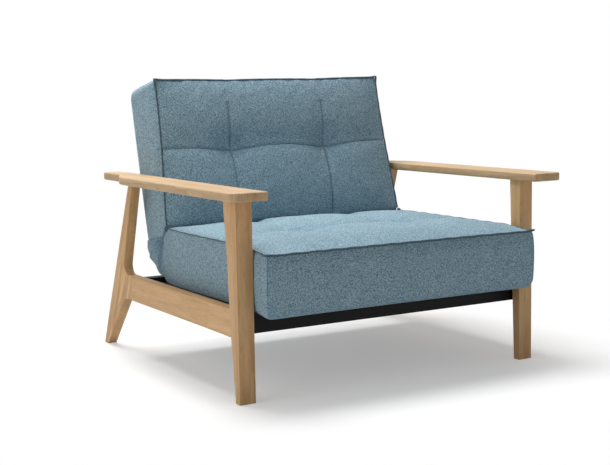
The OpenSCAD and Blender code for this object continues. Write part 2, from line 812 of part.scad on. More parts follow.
module pad_holes(th) {
    for (y = pad_screw_y) translate([y, pad_screw_h] - pivot_at(th)) circle(screw_d / 2 + fit_gap);
}

module pad_bores(tube_x) {
    for (s = [-1, 1], y = pad_screw_y) side(s)
        bar_x([y, pad_screw_h], screw_d / 2 + fit_gap, tube_x - tube - over, tube_x + over);
}

// The pawl is drawn engaged, about the pivot, in Y and Z
tip_near = rim_r - tip_bite;
pawl_arm = sqrt(pow(rim_r + rim_clear + pawl_boss_r, 2) - pow(tip_near, 2));
pawl_pin = tip_near * dir(tip_angle) - pawl_arm * dir(tip_angle + 90);
pivot = [pivot_y, pivot_z];

module seat_hinge_plates() {
    color("silver") place() for (s = [-1, 1]) side(s) translate([0, pivot_y, pivot_z])
        slab(seat_plate_x, seat_plate_x + plate_t) difference() {
            union() {
                mirror([1, 0]) web_outline(seat_thick);
                circle(hub_r);
            }
            circle(pivot_d / 2 + fit_gap);
            translate(pawl_pin) circle(pawl_pin_d / 2 + fit_gap);
            mirror([1, 0]) pad_holes(seat_thick);
        }
}

// Screws through a plate's pad into its tube, the head at head_x and the tail at tail_x
module pad_screws(head_x, tail_x) {
    head_to = head_x + sign(head_x - tail_x) * screw_head_h;
    for (s = [-1, 1], y = pad_screw_y) side(s) {
        bar_x([y, pad_screw_h], screw_head_d / 2, min(head_x, head_to), max(head_x, head_to));
        bar_x([y, pad_screw_h], screw_d / 2, min(head_x, tail_x), max(head_x, tail_x));
    }
}

module seat_hinge_screws() {
    color("gainsboro") in_seat() pad_screws(seat_plate_x - fit_gap, seat_tube_x - screw_tail);
}

module back_hinge_screws() {
    color("gainsboro") in_back() pad_screws(ratchet_x + plate_t + fit_gap, back_tube_x - tube + screw_tail);
}

module pivot_pins() {
    color("gainsboro") place() for (s = [-1, 1]) side(s) {
        out_x = seat_plate_x + plate_t + fit_gap;
        in_x = ratchet_x - slide_gap;
        bar_x(pivot, pivot_d / 2, in_x - rivet_tail, out_x + rivet_head_h);
        bar_x(pivot, rivet_head_r, out_x, out_x + rivet_head_h);
        bar_x(pivot, rivet_head_r, in_x - rivet_tail, in_x);
    }
}

module pawl_pins() {
    color("gainsboro") place() for (s = [-1, 1]) side(s) {
        out_x = seat_plate_x + plate_t + fit_gap;
        in_x = ratchet_x - 2 * slide_gap - pawl_spring_w;
        bar_x(pivot + pawl_pin, pawl_pin_d / 2, in_x - pawl_head_h, out_x + rivet_head_h);
        bar_x(pivot + pawl_pin, pawl_head_r, out_x, out_x + rivet_head_h);
        bar_x(pivot + pawl_pin, pawl_head_r, in_x - pawl_head_h, in_x);
    }
}

module pawl_springs() {
    spring_in = pawl_pin_d / 2 + slide_gap;
    x0 = ratchet_x - slide_gap - pawl_spring_w;
    color("dimgray") place() for (s = [-1, 1]) side(s) difference() {
        bar_x(pivot + pawl_pin, spring_in + pawl_spring_wall, x0, x0 + pawl_spring_w);
        bar_x(pivot + pawl_pin, spring_in, x0 - over, x0 + pawl_spring_w + over);
    }
}

module pawl_outline() {
    t = dir(tip_angle + 90) * tip_w / 2;
    out_r = rim_r + tip_back;
    polygon([tip_near * dir(tip_angle) - t, tip_near * dir(tip_angle) + t, out_r * dir(tip_angle) + t,
        (rim_r + arm_bend_out) * dir(arm_bend_angle),
        pawl_pin + pawl_boss_r * web_root_share * dir(tip_angle), pawl_pin,
        (rim_r + arm_bend_in) * dir(arm_bend_angle), (rim_r + rim_clear) * dir(tip_angle) - t]);
}

module pawl(s) {
    pin = pivot + pawl_pin;
    color("dimgray") place() side(s) translate([0, pin[0], pin[1]]) rotate([-pawl_turn, 0, 0])
        difference() {
            union() {
                slab(ratchet_x, ratchet_x + plate_t) translate(-pawl_pin) pawl_outline();
                bar_x([0, 0], pawl_boss_r, ratchet_x, ratchet_x + plate_t);
            }
            bar_x([0, 0], pawl_pin_d / 2 + run_gap, ratchet_x - over, ratchet_x + plate_t + over);
        }
}

// Toothed part of the ratchet about the pivot, at the sitting stop
module rim_outline() {
    difference() {
        polygon(concat([[0, 0]], fan([0, 0], rim_r, rim_from_angle, rim_to_angle, gusset_count)));
        notch_outline(0, rim_from_angle - over - tip_angle);
        notch_outline(lounge_angle, -notch_ahead_angle);
        notch_outline(fold_angle, -notch_ahead_angle);
    }
}

module notch_outline(stop, from) {
    a = tip_angle + stop;
    deep = rim_r - notch_d;
    far = rim_r + notch_d;
    polygon([deep * dir(a + from), deep * dir(a), deep * dir(a + notch_behind_angle),
        far * dir(a + notch_behind_angle), far * dir(a), far * dir(a + from)]);
}

module ratchet_plates() {
    color("silver") place() for (s = [-1, 1]) side(s) translate([0, pivot_y, pivot_z])
        slab(ratchet_x, ratchet_x + plate_t) difference() {
            union() {
                rotate(fold_angle) web_outline(back_thick);
                rim_outline();
                circle(hub_r);
            }
            circle(pivot_d / 2 + run_gap);
            rotate(fold_angle) pad_holes(back_thick);
        }
}

// Gusset: a band round the outside of the fold, and a cheek at each end of it

gusset_slack = end_gap - soft_gap;
function seat_edge(r) = [-gusset_slack, -r];
function back_edge(r) = r * dir(-back_lean) + gusset_slack * dir(fold_angle);
// From the seat it goes nearly straight up to a corner in the plane of the back's outer face
function gusset_curve(r) = let (low = [0, -r], high = r / cos(gusset_bend) * dir(-back_lean - gusset_bend))
    [for (k = [0 : gusset_count]) let (t = k / gusset_count)
        low + (high - low) * t + gusset_bow * sin(180 * t) * dir((-90 - back_lean - gusset_bend) / 2)];
function flip(v) = [for (k = [len(v) - 1 : -1 : 0]) v[k]];

module gusset_outline(inner) {
    outer = concat([seat_edge(gusset_r)], gusset_curve(gusset_r), [back_edge(gusset_r)]);
    polygon(concat(outer, inner));
}

module fold_gusset() {
    inner_r = gusset_r - gusset_t;
    w = crease_half_w - cheek_set;
    color("#587a8f") place() translate([0, pivot_y, pivot_z]) {
        inner = concat([back_edge(inner_r)], flip(gusset_curve(inner_r)), [seat_edge(inner_r)]);
        slab(-w, w) gusset_outline(inner);
        for (s = [-1, 1]) side(s) slab(w - cheek_t, w)
            gusset_outline([back_edge(cheek_near), seat_edge(cheek_near)]);
    }
}

module left_armrest() armrest(-1);
module right_armrest() armrest(1);
module left_front_post() front_post(-1);
module right_front_post() front_post(1);
module left_rear_leg() rear_leg(-1);
module right_rear_leg() rear_leg(1);
module left_side_rail() side_rail(-1);
module right_side_rail() side_rail(1);
module left_side_member() side_member(-1);
module right_side_member() side_member(1);
module left_pawl() pawl(-1);
module right_pawl() pawl(1);

left_armrest();
right_armrest();
left_front_post();
right_front_post();
left_rear_leg();
right_rear_leg();
left_side_rail();
right_side_rail();
frame_dowels();
foot_glides();
front_beam();
rear_beam();
left_side_member();
right_side_member();
frame_bolts();
thread_inserts();
seat_bolts();
seat_spacers();
seat_frame();
seat_slats();
seat_spring_core();
seat_foam();
seat_cover();
seat_dust_cloth();
seat_hinge_plates();
seat_hinge_screws();
pivot_pins();
pawl_pins();
pawl_springs();
left_pawl();
right_pawl();
ratchet_plates();
back_hinge_screws();
back_frame();
back_slats();
back_spring_core();
back_foam();
back_cover();
fold_gusset();
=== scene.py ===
import math

import bmesh
import bpy
import numpy as np
from mathutils import Matrix, Vector
from mathutils.bvhtree import BVHTree


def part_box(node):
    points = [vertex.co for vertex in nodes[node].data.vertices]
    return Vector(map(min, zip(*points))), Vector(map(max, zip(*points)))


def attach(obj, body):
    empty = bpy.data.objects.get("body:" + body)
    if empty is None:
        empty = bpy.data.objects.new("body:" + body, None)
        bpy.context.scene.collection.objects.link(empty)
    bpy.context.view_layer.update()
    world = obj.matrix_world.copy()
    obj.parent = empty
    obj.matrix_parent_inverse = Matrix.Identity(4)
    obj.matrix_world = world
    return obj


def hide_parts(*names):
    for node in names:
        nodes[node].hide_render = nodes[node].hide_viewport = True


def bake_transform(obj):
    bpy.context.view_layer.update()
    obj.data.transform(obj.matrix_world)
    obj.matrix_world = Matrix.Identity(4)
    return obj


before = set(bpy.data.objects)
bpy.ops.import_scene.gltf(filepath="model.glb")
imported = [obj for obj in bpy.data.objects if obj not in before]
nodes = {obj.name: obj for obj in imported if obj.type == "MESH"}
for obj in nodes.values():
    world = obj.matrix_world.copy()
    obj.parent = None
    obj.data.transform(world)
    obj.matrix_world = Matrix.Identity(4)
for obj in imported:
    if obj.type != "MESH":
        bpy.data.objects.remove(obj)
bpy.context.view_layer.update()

# Chair bed: oak arm frames, black steel base, tufted mattress folded at its hinge.
# Lengths are in metres and angles in degrees. X is to the right, Y to the back, Z up.
scene = bpy.context.scene
scene.view_settings.view_transform = "Standard"


# Camera, at the photograph's place
cameraView = {
    "place": (-1.93203, -3.261827, 0.84235),
    "yaw": 30.261,
    "pitch": 6.866,
    "roll": -0.96,
    "lens": 71.18,
    "sensor": 36,
}


def makeCamera(view):
    yaw, pitch, roll = (math.radians(view[k]) for k in ("yaw", "pitch", "roll"))
    ahead = Vector((math.sin(yaw) * math.cos(pitch), math.cos(yaw) * math.cos(pitch), -math.sin(pitch)))
    level = Vector((math.cos(yaw), -math.sin(yaw), 0))
    upright = level.cross(ahead)
    right = level * math.cos(roll) + upright * math.sin(roll)
    up = upright * math.cos(roll) - level * math.sin(roll)
    bpy.ops.object.camera_add()
    camera = bpy.context.object
    camera.name = "photoCamera"
    turned = Matrix((right, up, -ahead)).transposed().to_4x4()
    camera.matrix_world = Matrix.Translation(view["place"]) @ turned
    camera.data.lens = view["lens"]
    camera.data.sensor_width = view["sensor"]
    scene.camera = camera


makeCamera(cameraView)

lamps = {
    "topSoftbox": {"place": (-0.4, 0.7, 3.2), "aim": (0, 0, 0.3), "size": 1.6, "power": 108},
    "leftSoftbox": {"place": (-3.0, -0.9, 1.3), "aim": (0, 0, 0.4), "size": 2.0, "power": 20},
    "frontFill": {"place": (1.2, -3.6, 1.6), "aim": (0, 0, 0.4), "size": 2.4, "power": 4},
}


def makeLamps(table):
    for name, lamp in table.items():
        bpy.ops.object.light_add(type="AREA", location=lamp["place"])
        light = bpy.context.object
        light.name = name
        light.data.shape = "SQUARE"
        light.data.size = lamp["size"]
        light.data.energy = lamp["power"]
        toward = Vector(lamp["aim"]) - Vector(lamp["place"])
        light.rotation_euler = toward.to_track_quat("-Z", "Y").to_euler()


makeLamps(lamps)
print("camera and lamps made")


# Node helpers

nodeGrid = {"columns": 6, "wide": 240, "high": 320}


def addNode(tree, kind, **values):
    node = tree.nodes.new(kind)
    row, column = divmod(len(tree.nodes), nodeGrid["columns"])
    node.location = (column * nodeGrid["wide"], -row * nodeGrid["high"])
    for key, value in values.items():
        setattr(node, key, value)
    return node


def setInputs(node, values):
    for name, value in values.items():
        node.inputs[name].default_value = value


def mathNode(tree, operation, first, second, clamp=False):
    node = addNode(tree, "ShaderNodeMath", operation=operation, use_clamp=clamp)
    for slot, value in enumerate((first, second)):
        if isinstance(value, (int, float)):
            node.inputs[slot].default_value = value
        else:
            tree.links.new(value, node.inputs[slot])
    return node.outputs[0]


# Sum of layers, each a socket and its share
def addedUp(tree, layers, clamp=False):
    total = None
    for socket, share in layers:
        part = mathNode(tree, "MULTIPLY", socket, share)
        total = part if total is None else mathNode(tree, "ADD", total, part, clamp)
    return total


def mapRange(tree, value, low, high, toLow=0.0, toHigh=1.0, smooth=False):
    node = addNode(tree, "ShaderNodeMapRange", interpolation_type="SMOOTHSTEP" if smooth else "LINEAR")
    tree.links.new(value, node.inputs["Value"])
    setInputs(node, {"From Min": low, "From Max": high, "To Min": toLow, "To Max": toHigh})
    return node.outputs["Result"]


# The mix node's colour sockets have no names of their own: 6 and 7 go in and 2 comes out
def mixColour(tree, share, first, second):
    node = addNode(tree, "ShaderNodeMix", data_type="RGBA")
    for slot, value in (("Factor", share), (6, first), (7, second)):
        tree.links.new(value, node.inputs[slot])
    return node.outputs[2]


def mixShader(tree, share, first, second):
    node = addNode(tree, "ShaderNodeMixShader")
    for slot, value in enumerate((share, first, second)):
        tree.links.new(value, node.inputs[slot])
    return node.outputs[0]


def emission(tree, strength):
    node = addNode(tree, "ShaderNodeEmission")
    setInputs(node, {"Strength": strength})
    return node.outputs[0]


def noiseOf(tree, vector, scale, detail, roughness, distortion=0.0):
    node = addNode(tree, "ShaderNodeTexNoise")
    tree.links.new(vector, node.inputs["Vector"])
    setInputs(node, {"Scale": scale, "Detail": detail, "Roughness": roughness, "Distortion": distortion})
    return node.outputs["Fac"]


def stretched(tree, vector, factors):
    node = addNode(tree, "ShaderNodeVectorMath", operation="MULTIPLY")
    tree.links.new(vector, node.inputs[0])
    node.inputs[1].default_value = factors
    return node.outputs[0]


# 1 for the rays that show the room itself, 0 for those that light the object
def seenRays(tree):
    light = addNode(tree, "ShaderNodeLightPath")
    seen = mathNode(tree, "MAXIMUM", light.outputs["Is Camera Ray"], light.outputs["Is Glossy Ray"])
    return mathNode(tree, "MAXIMUM", seen, light.outputs["Is Transmission Ray"])


# Every group gives a colour, a roughness and a height for the bump
groupOutputs = {"Colour": "Color", "Roughness": "Float", "Height": "Float"}


def newGroup(name, inputs):
    group = bpy.data.node_groups.new(name, "ShaderNodeTree")
    for direction, sockets in (("INPUT", inputs), ("OUTPUT", groupOutputs)):
        for socketName, kind in sockets.items():
            group.interface.new_socket(socketName, in_out=direction, socket_type="NodeSocket" + kind)
    return group, addNode(group, "NodeGroupInput"), addNode(group, "NodeGroupOutput")


def finishGroup(group, end, colour, roughness, height):
    for name, socket in (("Colour", colour), ("Roughness", roughness), ("Height", height)):
        group.links.new(socket, end.inputs[name])
    return group


# Wood: long fibres along the group's Z, growth bands across its X.
# A noise is its scale, detail, roughness and distortion.
woodLook = {
    "stretch": {
        "broad": (1, 1, 0.09), "bands": (1, 0.6, 0.05), "fibres": (1, 1, 0.03), "pores": (1, 1, 0.045),
    },
    "broadNoise": (38, 3, 0.55, 0.5), "broadRange": (0.3, 0.7), "broadShare": 0.52,
    "bands": {"Scale": 42, "Distortion": 5.5, "Detail": 2.5, "Detail Scale": 1.1}, "bandShare": 0.36,
    "fibreNoise": (900, 2, 0.6), "fibreRange": (0.2, 0.8), "fibreShare": 0.2,
    "poreNoise": (560, 1, 0.4), "poreRange": (0.6, 0.72), "poreShare": 0.42, "poreDeep": 0.8,
    "roughness": (0.46, 0.6),
}


def woodGroup(look):
    group, start, end = newGroup("woodGrain", {"Vector": "Vector", "Light": "Color", "Dark": "Color"})
    grain = {k: stretched(group, start.outputs["Vector"], v) for k, v in look["stretch"].items()}
    broad = mapRange(group, noiseOf(group, grain["broad"], *look["broadNoise"]), *look["broadRange"])
    bands = addNode(group, "ShaderNodeTexWave", bands_direction="X", wave_profile="SAW")
    group.links.new(grain["bands"], bands.inputs["Vector"])
    setInputs(bands, look["bands"])
    fibres = noiseOf(group, grain["fibres"], *look["fibreNoise"])
    pores = mapRange(group, noiseOf(group, grain["pores"], *look["poreNoise"]), *look["poreRange"])
    layers = (
        (broad, look["broadShare"]), (bands.outputs["Fac"], look["bandShare"]),
        (fibres, look["fibreShare"]), (pores, look["poreShare"]),
    )
    share = addedUp(group, layers, clamp=True)
    colour = mixColour(group, share, start.outputs["Light"], start.outputs["Dark"])
    roughness = mapRange(group, fibres, *look["fibreRange"], *look["roughness"])
    height = mathNode(group, "SUBTRACT", fibres, mathNode(group, "MULTIPLY", pores, look["poreDeep"]))
    return finishGroup(group, end, colour, roughness, height)


# Woven upholstery: slubby threads of two tones, seen on every side of a piece
weaveLook = {
    "threadStretch": 0.27, "threadNoise": (760, 0.5, 0.5), "threadRange": (0.4, 0.6), "threadShare": 0.92,
    "patchNoise": (26, 3, 0.6), "patchRange": (0.3, 0.7), "patchShare": 0.05,
    "slubNoise": (150, 2, 0.6), "slubRange": (0.35, 0.65), "slubShare": 0.04,
    "sides": 0.52, "contrast": (0.3, 0.68), "roughness": (0.95, 0.82),
}


def weaveGroup(look):
    group, start, end = newGroup("slubWeave",
        {"Vector": "Vector", "Normal": "Vector", "Light": "Color", "Dark": "Color"})
    vector = start.outputs["Vector"]
    facing = addNode(group, "ShaderNodeVectorMath", operation="ABSOLUTE")
    group.links.new(start.outputs["Normal"], facing.inputs[0])
    parts = addNode(group, "ShaderNodeSeparateXYZ")
    group.links.new(facing.outputs[0], parts.inputs[0])
    tone = None
    for axis in range(3):
        factors = [1.0, 1.0, 1.0]
        factors[axis] = look["threadStretch"]
        threads = noiseOf(group, stretched(group, vector, factors), *look["threadNoise"])
        seen = mathNode(group, "SUBTRACT", 1.0, parts.outputs[axis], clamp=True)
        one = mathNode(group, "MULTIPLY", mapRange(group, threads, *look["threadRange"]), seen)
        tone = one if tone is None else mathNode(group, "ADD", tone, one)
    tone = mathNode(group, "MULTIPLY", tone, look["sides"])
    patches = mapRange(group, noiseOf(group, vector, *look["patchNoise"]), *look["patchRange"])
    slubs = mapRange(group, noiseOf(group, vector, *look["slubNoise"]), *look["slubRange"])
    layers = ((tone, look["threadShare"]), (patches, look["patchShare"]), (slubs, look["slubShare"]))
    share = mapRange(group, addedUp(group, layers), *look["contrast"])
    colour = mixColour(group, share, start.outputs["Dark"], start.outputs["Light"])
    return finishGroup(group, end, colour, mapRange(group, tone, 0, 1, *look["roughness"]), tone)


# Small dents and tone changes of a coated, plated or moulded surface
surfaceLook = {"fineDetail": 2, "cloudNoise": (14, 3, 0.6), "cloudRange": (0.35, 0.75)}


def surfaceGroup(look):
    group, start, end = newGroup("fineSurface", {
        "Vector": "Vector", "Base": "Color", "Worn": "Color",
        "Grain": "Float", "Smooth": "Float", "Rough": "Float",
    })
    vector = start.outputs["Vector"]
    fine = addNode(group, "ShaderNodeTexNoise")
    group.links.new(vector, fine.inputs["Vector"])
    group.links.new(start.outputs["Grain"], fine.inputs["Scale"])
    setInputs(fine, {"Detail": look["fineDetail"]})
    clouds = mapRange(group, noiseOf(group, vector, *look["cloudNoise"]), *look["cloudRange"])
    colour = mixColour(group, clouds, start.outputs["Base"], start.outputs["Worn"])
    rough = addNode(group, "ShaderNodeMapRange")
    group.links.new(clouds, rough.inputs["Value"])
    group.links.new(start.outputs["Smooth"], rough.inputs["To Min"])
    group.links.new(start.outputs["Rough"], rough.inputs["To Max"])
    return finishGroup(group, end, colour, rough.outputs["Result"], fine.outputs["Fac"])


groups = {"wood": woodGroup(woodLook), "weave": weaveGroup(weaveLook), "surface": surfaceGroup(surfaceLook)}


def newMaterial(name, group, turn, shift, settings, relief, shader):
    material = bpy.data.materials.new(name)
    material.use_nodes = True
    tree = material.node_tree
    principled = tree.nodes["Principled BSDF"]
    coordinates = addNode(tree, "ShaderNodeTexCoord")
    rotation = [math.radians(a) for a in turn]
    mapping = addNode(tree, "ShaderNodeMapping")
    setInputs(mapping, {"Rotation": rotation, "Location": shift})
    tree.links.new(coordinates.outputs["Object"], mapping.inputs["Vector"])
    grain = addNode(tree, "ShaderNodeGroup", node_tree=group)
    tree.links.new(mapping.outputs["Vector"], grain.inputs["Vector"])
    if "Normal" in grain.inputs:
        turned = addNode(tree, "ShaderNodeMapping", vector_type="NORMAL")
        setInputs(turned, {"Rotation": rotation})
        tree.links.new(coordinates.outputs["Normal"], turned.inputs["Vector"])
        tree.links.new(turned.outputs["Vector"], grain.inputs["Normal"])
    setInputs(grain, {k: (*v, 1) if isinstance(v, tuple) else v for k, v in settings.items()})
    tree.links.new(grain.outputs["Colour"], principled.inputs["Base Color"])
    tree.links.new(grain.outputs["Roughness"], principled.inputs["Roughness"])
    bump = addNode(tree, "ShaderNodeBump")
    setInputs(bump, relief)
    tree.links.new(grain.outputs["Height"], bump.inputs["Height"])
    tree.links.new(bump.outputs["Normal"], principled.inputs["Normal"])
    setInputs(principled, shader)
    return material


oak = {"Light": (0.82, 0.53, 0.265), "Dark": (0.45, 0.245, 0.095)}
# Armrest oak: the oak's tones made paler and cooler, a painted sheen that stands in for the cool light on the
# armrests' tops
armOakPaintedSheen = {"Light": (0.68, 0.485, 0.29), "Dark": (0.40, 0.25, 0.12)}
paleWood = {"Light": (0.82, 0.68, 0.48), "Dark": (0.66, 0.49, 0.30)}
weaveTones = {"Light": (0.415, 0.56, 0.62), "Dark": (0.11, 0.222, 0.31)}
# Seam thread: darker than the cover, partly the thread's own tone and partly painted shade of the sewn groove
seamThreadAndShadeTones = {"Light": (0.2, 0.3, 0.36), "Dark": (0.09, 0.15, 0.19)}
pipingTones = {"Light": (0.12, 0.19, 0.235), "Dark": (0.05, 0.09, 0.12)}
dustTones = {"Light": (0.035, 0.035, 0.04), "Dark": (0.015, 0.015, 0.018)}
unturned = (0, 0, 0)
reliefDeep = {"wood": 0.0006, "weave": 0.0015, "surface": 0.0003}
woodShader = {"Specular IOR Level": 0.45}
clothShader = {"Specular IOR Level": 0.2, "Sheen Weight": 0.12, "Sheen Roughness": 0.5}
coatShader = {"Specular IOR Level": 0.15}
metalShader = {"Metallic": 1.0}


def wood(name, turn, shift, tones=oak, bump=0.25):
    relief = {"Strength": bump, "Distance": reliefDeep["wood"]}
    return newMaterial(name, groups["wood"], turn, shift, tones, relief, woodShader)


def weave(name, turn=unturned, tones=weaveTones, bump=0.55):
    relief = {"Strength": bump, "Distance": reliefDeep["weave"]}
    return newMaterial(name, groups["weave"], turn, unturned, tones, relief, clothShader)


def surface(name, base, worn, grain, smooth, rough, bump, shader):
    settings = {"Base": base, "Worn": worn, "Grain": grain, "Smooth": smooth, "Rough": rough}
    relief = {"Strength": bump, "Distance": reliefDeep["surface"]}
    return newMaterial(name, groups["surface"], unturned, unturned, settings, relief, shader)


materials = {
    # The armrests take the oak with the painted sheen of their lit tops
    "armLeft": wood("oakArmLeftPaintedSheen", (90, 0, 0), (0.3, 0, 0), armOakPaintedSheen),
    "armRight": wood("oakArmRightPaintedSheen", (90, 0, 0), (1.1, 0.2, 0), armOakPaintedSheen),
    "postLeft": wood("oakPostLeft", (0, 0, 90), (0.17, 0.4, 0.3)),
    "postRight": wood("oakPostRight", (0, 0, 90), (0.63, 0.1, 0.9)),
    "legLeft": wood("oakLegLeft", (-25, 0, 0), (0.37, 0.2, 0)),
    "legRight": wood("oakLegRight", (-25, 0, 0), (0.91, 0.5, 0)),
    "railLeft": wood("oakRailLeft", (90, 0, 0), (0.71, 0.6, 0.2)),
    "railRight": wood("oakRailRight", (90, 0, 0), (0.23, 0.8, 0.5)),
    "beech": wood("beechDowel", (90, 0, 0), unturned, paleWood),
    "birch": wood("birchSlat", (0, 90, 0), unturned, paleWood),
    "blackSteel": surface("blackPowderCoat", base=(0.007, 0.007, 0.008), worn=(0.01, 0.01, 0.011),
        grain=1400, smooth=0.55, rough=0.62, bump=0.25, shader=coatShader),
    "greySteel": surface("greyTube", base=(0.28, 0.29, 0.31), worn=(0.34, 0.35, 0.37),
        grain=900, smooth=0.4, rough=0.5, bump=0.2, shader={}),
    "hingeSteel": surface("platedHinge", base=(0.52, 0.53, 0.55), worn=(0.62, 0.62, 0.63),
        grain=500, smooth=0.28, rough=0.4, bump=0.15, shader=metalShader),
    "zinc": surface("zincScrew", base=(0.66, 0.66, 0.64), worn=(0.74, 0.73, 0.7),
        grain=700, smooth=0.3, rough=0.45, bump=0.15, shader=metalShader),
    "brass": surface("brassInsert", base=(0.74, 0.55, 0.27), worn=(0.82, 0.66, 0.38),
        grain=700, smooth=0.25, rough=0.4, bump=0.1, shader=metalShader),
    "glide": surface("glidePlastic", base=(0.1, 0.085, 0.07), worn=(0.15, 0.13, 0.11),
        grain=1100, smooth=0.5, rough=0.62, bump=0.2, shader={}),
    "felt": surface("springFelt", base=(0.7, 0.69, 0.65), worn=(0.84, 0.83, 0.79),
        grain=900, smooth=0.9, rough=0.98, bump=0.8, shader={}),
    "foam": surface("seatFoam", base=(0.88, 0.82, 0.56), worn=(0.94, 0.9, 0.7),
        grain=1300, smooth=0.85, rough=0.95, bump=0.8, shader={}),
    "seatWeave": weave("seatWeave"),
    "backWeave": weave("backWeave", (-77, 0, 0)),
    "foldWeave": weave("foldWeave", (-38, 0, 0)),
    "piping": weave("pipingWeave", tones=pipingTones, bump=0.4),
    "seam": weave("seamWeaveAndShade", tones=seamThreadAndShadeTones, bump=0.4),
    "dustCloth": weave("dustCloth", tones=dustTones, bump=0.3),
}
print("materials made")


def paint(piece, name):
    piece.data.materials.clear()
    piece.data.materials.append(materials[name])


finishes = {
    "frame_dowels": "beech", "foot_glides": "glide", "front_beam": "blackSteel", "rear_beam": "blackSteel",
    "left_side_member": "blackSteel", "right_side_member": "blackSteel", "frame_bolts": "zinc",
    "thread_inserts": "brass", "seat_bolts": "zinc", "seat_spacers": "hingeSteel", "seat_frame": "greySteel",
    "seat_slats": "birch", "seat_spring_core": "felt", "seat_foam": "foam", "seat_dust_cloth": "dustCloth",
    "seat_hinge_plates": "hingeSteel", "seat_hinge_screws": "zinc", "pivot_pins": "hingeSteel",
    "pawl_pins": "hingeSteel", "pawl_springs": "hingeSteel", "left_pawl": "hingeSteel",
    "right_pawl": "hingeSteel", "ratchet_plates": "hingeSteel", "back_hinge_screws": "zinc",
    "back_frame": "greySteel", "back_slats": "birch", "back_spring_core": "felt", "back_foam": "foam",
    "seat_cover": "seatWeave", "back_cover": "backWeave", "fold_gusset": "foldWeave",
    "left_armrest": "armLeft", "right_armrest": "armRight", "left_front_post": "postLeft",
    "right_front_post": "postRight", "left_rear_leg": "legLeft", "right_rear_leg": "legRight",
    "left_side_rail": "railLeft", "right_side_rail": "railRight",
}
for nodeName, finish in finishes.items():
    paint(nodes[nodeName], finish)


# Floor: keeps the shadow round the object and goes over to plain white further out
floorLook = {
    "size": 24, "shader": {"Base Color": (0.8, 0.8, 0.8, 1), "Roughness": 0.8, "Specular IOR Level": 0.0},
    "lift": 0.33, "white": 1.0, "shadowTo": 0.6, "whiteFrom": 1.2,
}


def makeFloor(look):
    bpy.ops.mesh.primitive_plane_add(size=look["size"], location=(0, 0, 0))
    floor = bpy.context.object
    floor.name = "floor"
    material = bpy.data.materials.new("paleFloor")
    material.use_nodes = True
    tree = material.node_tree
    principled = tree.nodes["Principled BSDF"]
    setInputs(principled, look["shader"])
    plain = principled.outputs[0]
    coordinates = addNode(tree, "ShaderNodeTexCoord")
    length = addNode(tree, "ShaderNodeVectorMath", operation="LENGTH")
    tree.links.new(coordinates.outputs["Object"], length.inputs[0])
    far = mapRange(tree, length.outputs["Value"], look["shadowTo"], look["whiteFrom"], smooth=True)
    near = addNode(tree, "ShaderNodeAddShader")
    tree.links.new(plain, near.inputs[0])
    tree.links.new(emission(tree, look["lift"]), near.inputs[1])
    shown = mixShader(tree, far, near.outputs[0], emission(tree, look["white"]))
    final = mixShader(tree, seenRays(tree), plain, shown)
    tree.links.new(final, tree.nodes["Material Output"].inputs["Surface"])
    floor.data.materials.append(material)


makeFloor(floorLook)

roomLight = {"colour": (1, 1, 1, 1), "ambient": 0.2, "seen": 1.0}


def makeWorld(look):
    world = bpy.data.worlds.new("studio")
    world.use_nodes = True
    scene.world = world
    tree = world.node_tree
    background = tree.nodes["Background"]
    setInputs(background, {"Color": look["colour"]})
    strength = mapRange(tree, seenRays(tree), 0, 1, look["ambient"], look["seen"])
    tree.links.new(strength, background.inputs["Strength"])


makeWorld(roomLight)
print("floor and room made")


# Mesh helpers

def pickOnly(piece):
    bpy.ops.object.select_all(action="DESELECT")
    piece.select_set(True)
    bpy.context.view_layer.objects.active = piece


# Runs edit steps, each an operator and its settings, on all of the picked mesh
def onWholeMesh(*steps):
    bpy.ops.object.mode_set(mode="EDIT")
    bpy.ops.mesh.select_all(action="SELECT")
    for step, settings in steps:
        step(**settings)
    bpy.ops.object.mode_set(mode="OBJECT")


def faceOutward():
    onWholeMesh((bpy.ops.mesh.normals_make_consistent, {"inside": False}))


def shadeSmooth(piece):
    for polygon in piece.data.polygons:
        polygon.use_smooth = True


def readPoints(mesh, kind="co"):
    points = np.empty(len(mesh.vertices) * 3)
    mesh.vertices.foreach_get(kind, points)
    return points.reshape(-1, 3)


def writePoints(mesh, points):
    mesh.vertices.foreach_set("co", np.ascontiguousarray(points).ravel())
    mesh.update()


# Oak pieces: each CAD board with its edges rounded, but not where it meets its neighbour

boardJoints = {"underArm": ("z", 0.553), "railToLeg": ("y", 0.278233)}
boards = {
    "armrest": {"round": 0.0042, "finish": "arm", "joints": ()},
    "front_post": {"round": 0.003, "finish": "post", "joints": ("underArm",)},
    "rear_leg": {"round": 0.0035, "finish": "leg", "joints": ("underArm", "railToLeg")},
    "side_rail": {"round": 0.0035, "finish": "rail", "joints": ("railToLeg",)},
}
rounding = {
    "weld": 0.00001, "flat": 1, "sharp": 30, "smooth": 35, "segments": 3, "profile": 0.5, "atJoint": 0.0002,
    "boreEdge": 0.0009, "glideEdge": 0.0013, "glideTop": 0.01, "railFrontEnd": -0.39,
}


def copyOf(nodeName, name):
    piece = bpy.data.objects.new(name, nodes[nodeName].data.copy())
    scene.collection.objects.link(piece)
    pickOnly(piece)
    onWholeMesh(
        (bpy.ops.mesh.remove_doubles, {"threshold": rounding["weld"]}),
        (bpy.ops.mesh.dissolve_limited, {"angle_limit": math.radians(rounding["flat"])}))
    return piece


# Is this edge one to round: sharp, and no part of a bore, a glide or a joint
def isFree(edge, kind):
    if len(edge.link_faces) != 2 or edge.calc_face_angle(0) < math.radians(rounding["sharp"]):
        return False
    length = edge.calc_length()
    a, b = (v.co for v in edge.verts)
    for axis, at in (boardJoints[k] for k in boards[kind]["joints"]):
        if all(abs(getattr(end, axis) - at) < rounding["atJoint"] for end in (a, b)):
            return False
    atGlide = length < rounding["glideEdge"] and max(a.z, b.z) < rounding["glideTop"]
    atPost = kind == "side_rail" and max(a.y, b.y) < rounding["railFrontEnd"]
    return not (length < rounding["boreEdge"] or atGlide or atPost)


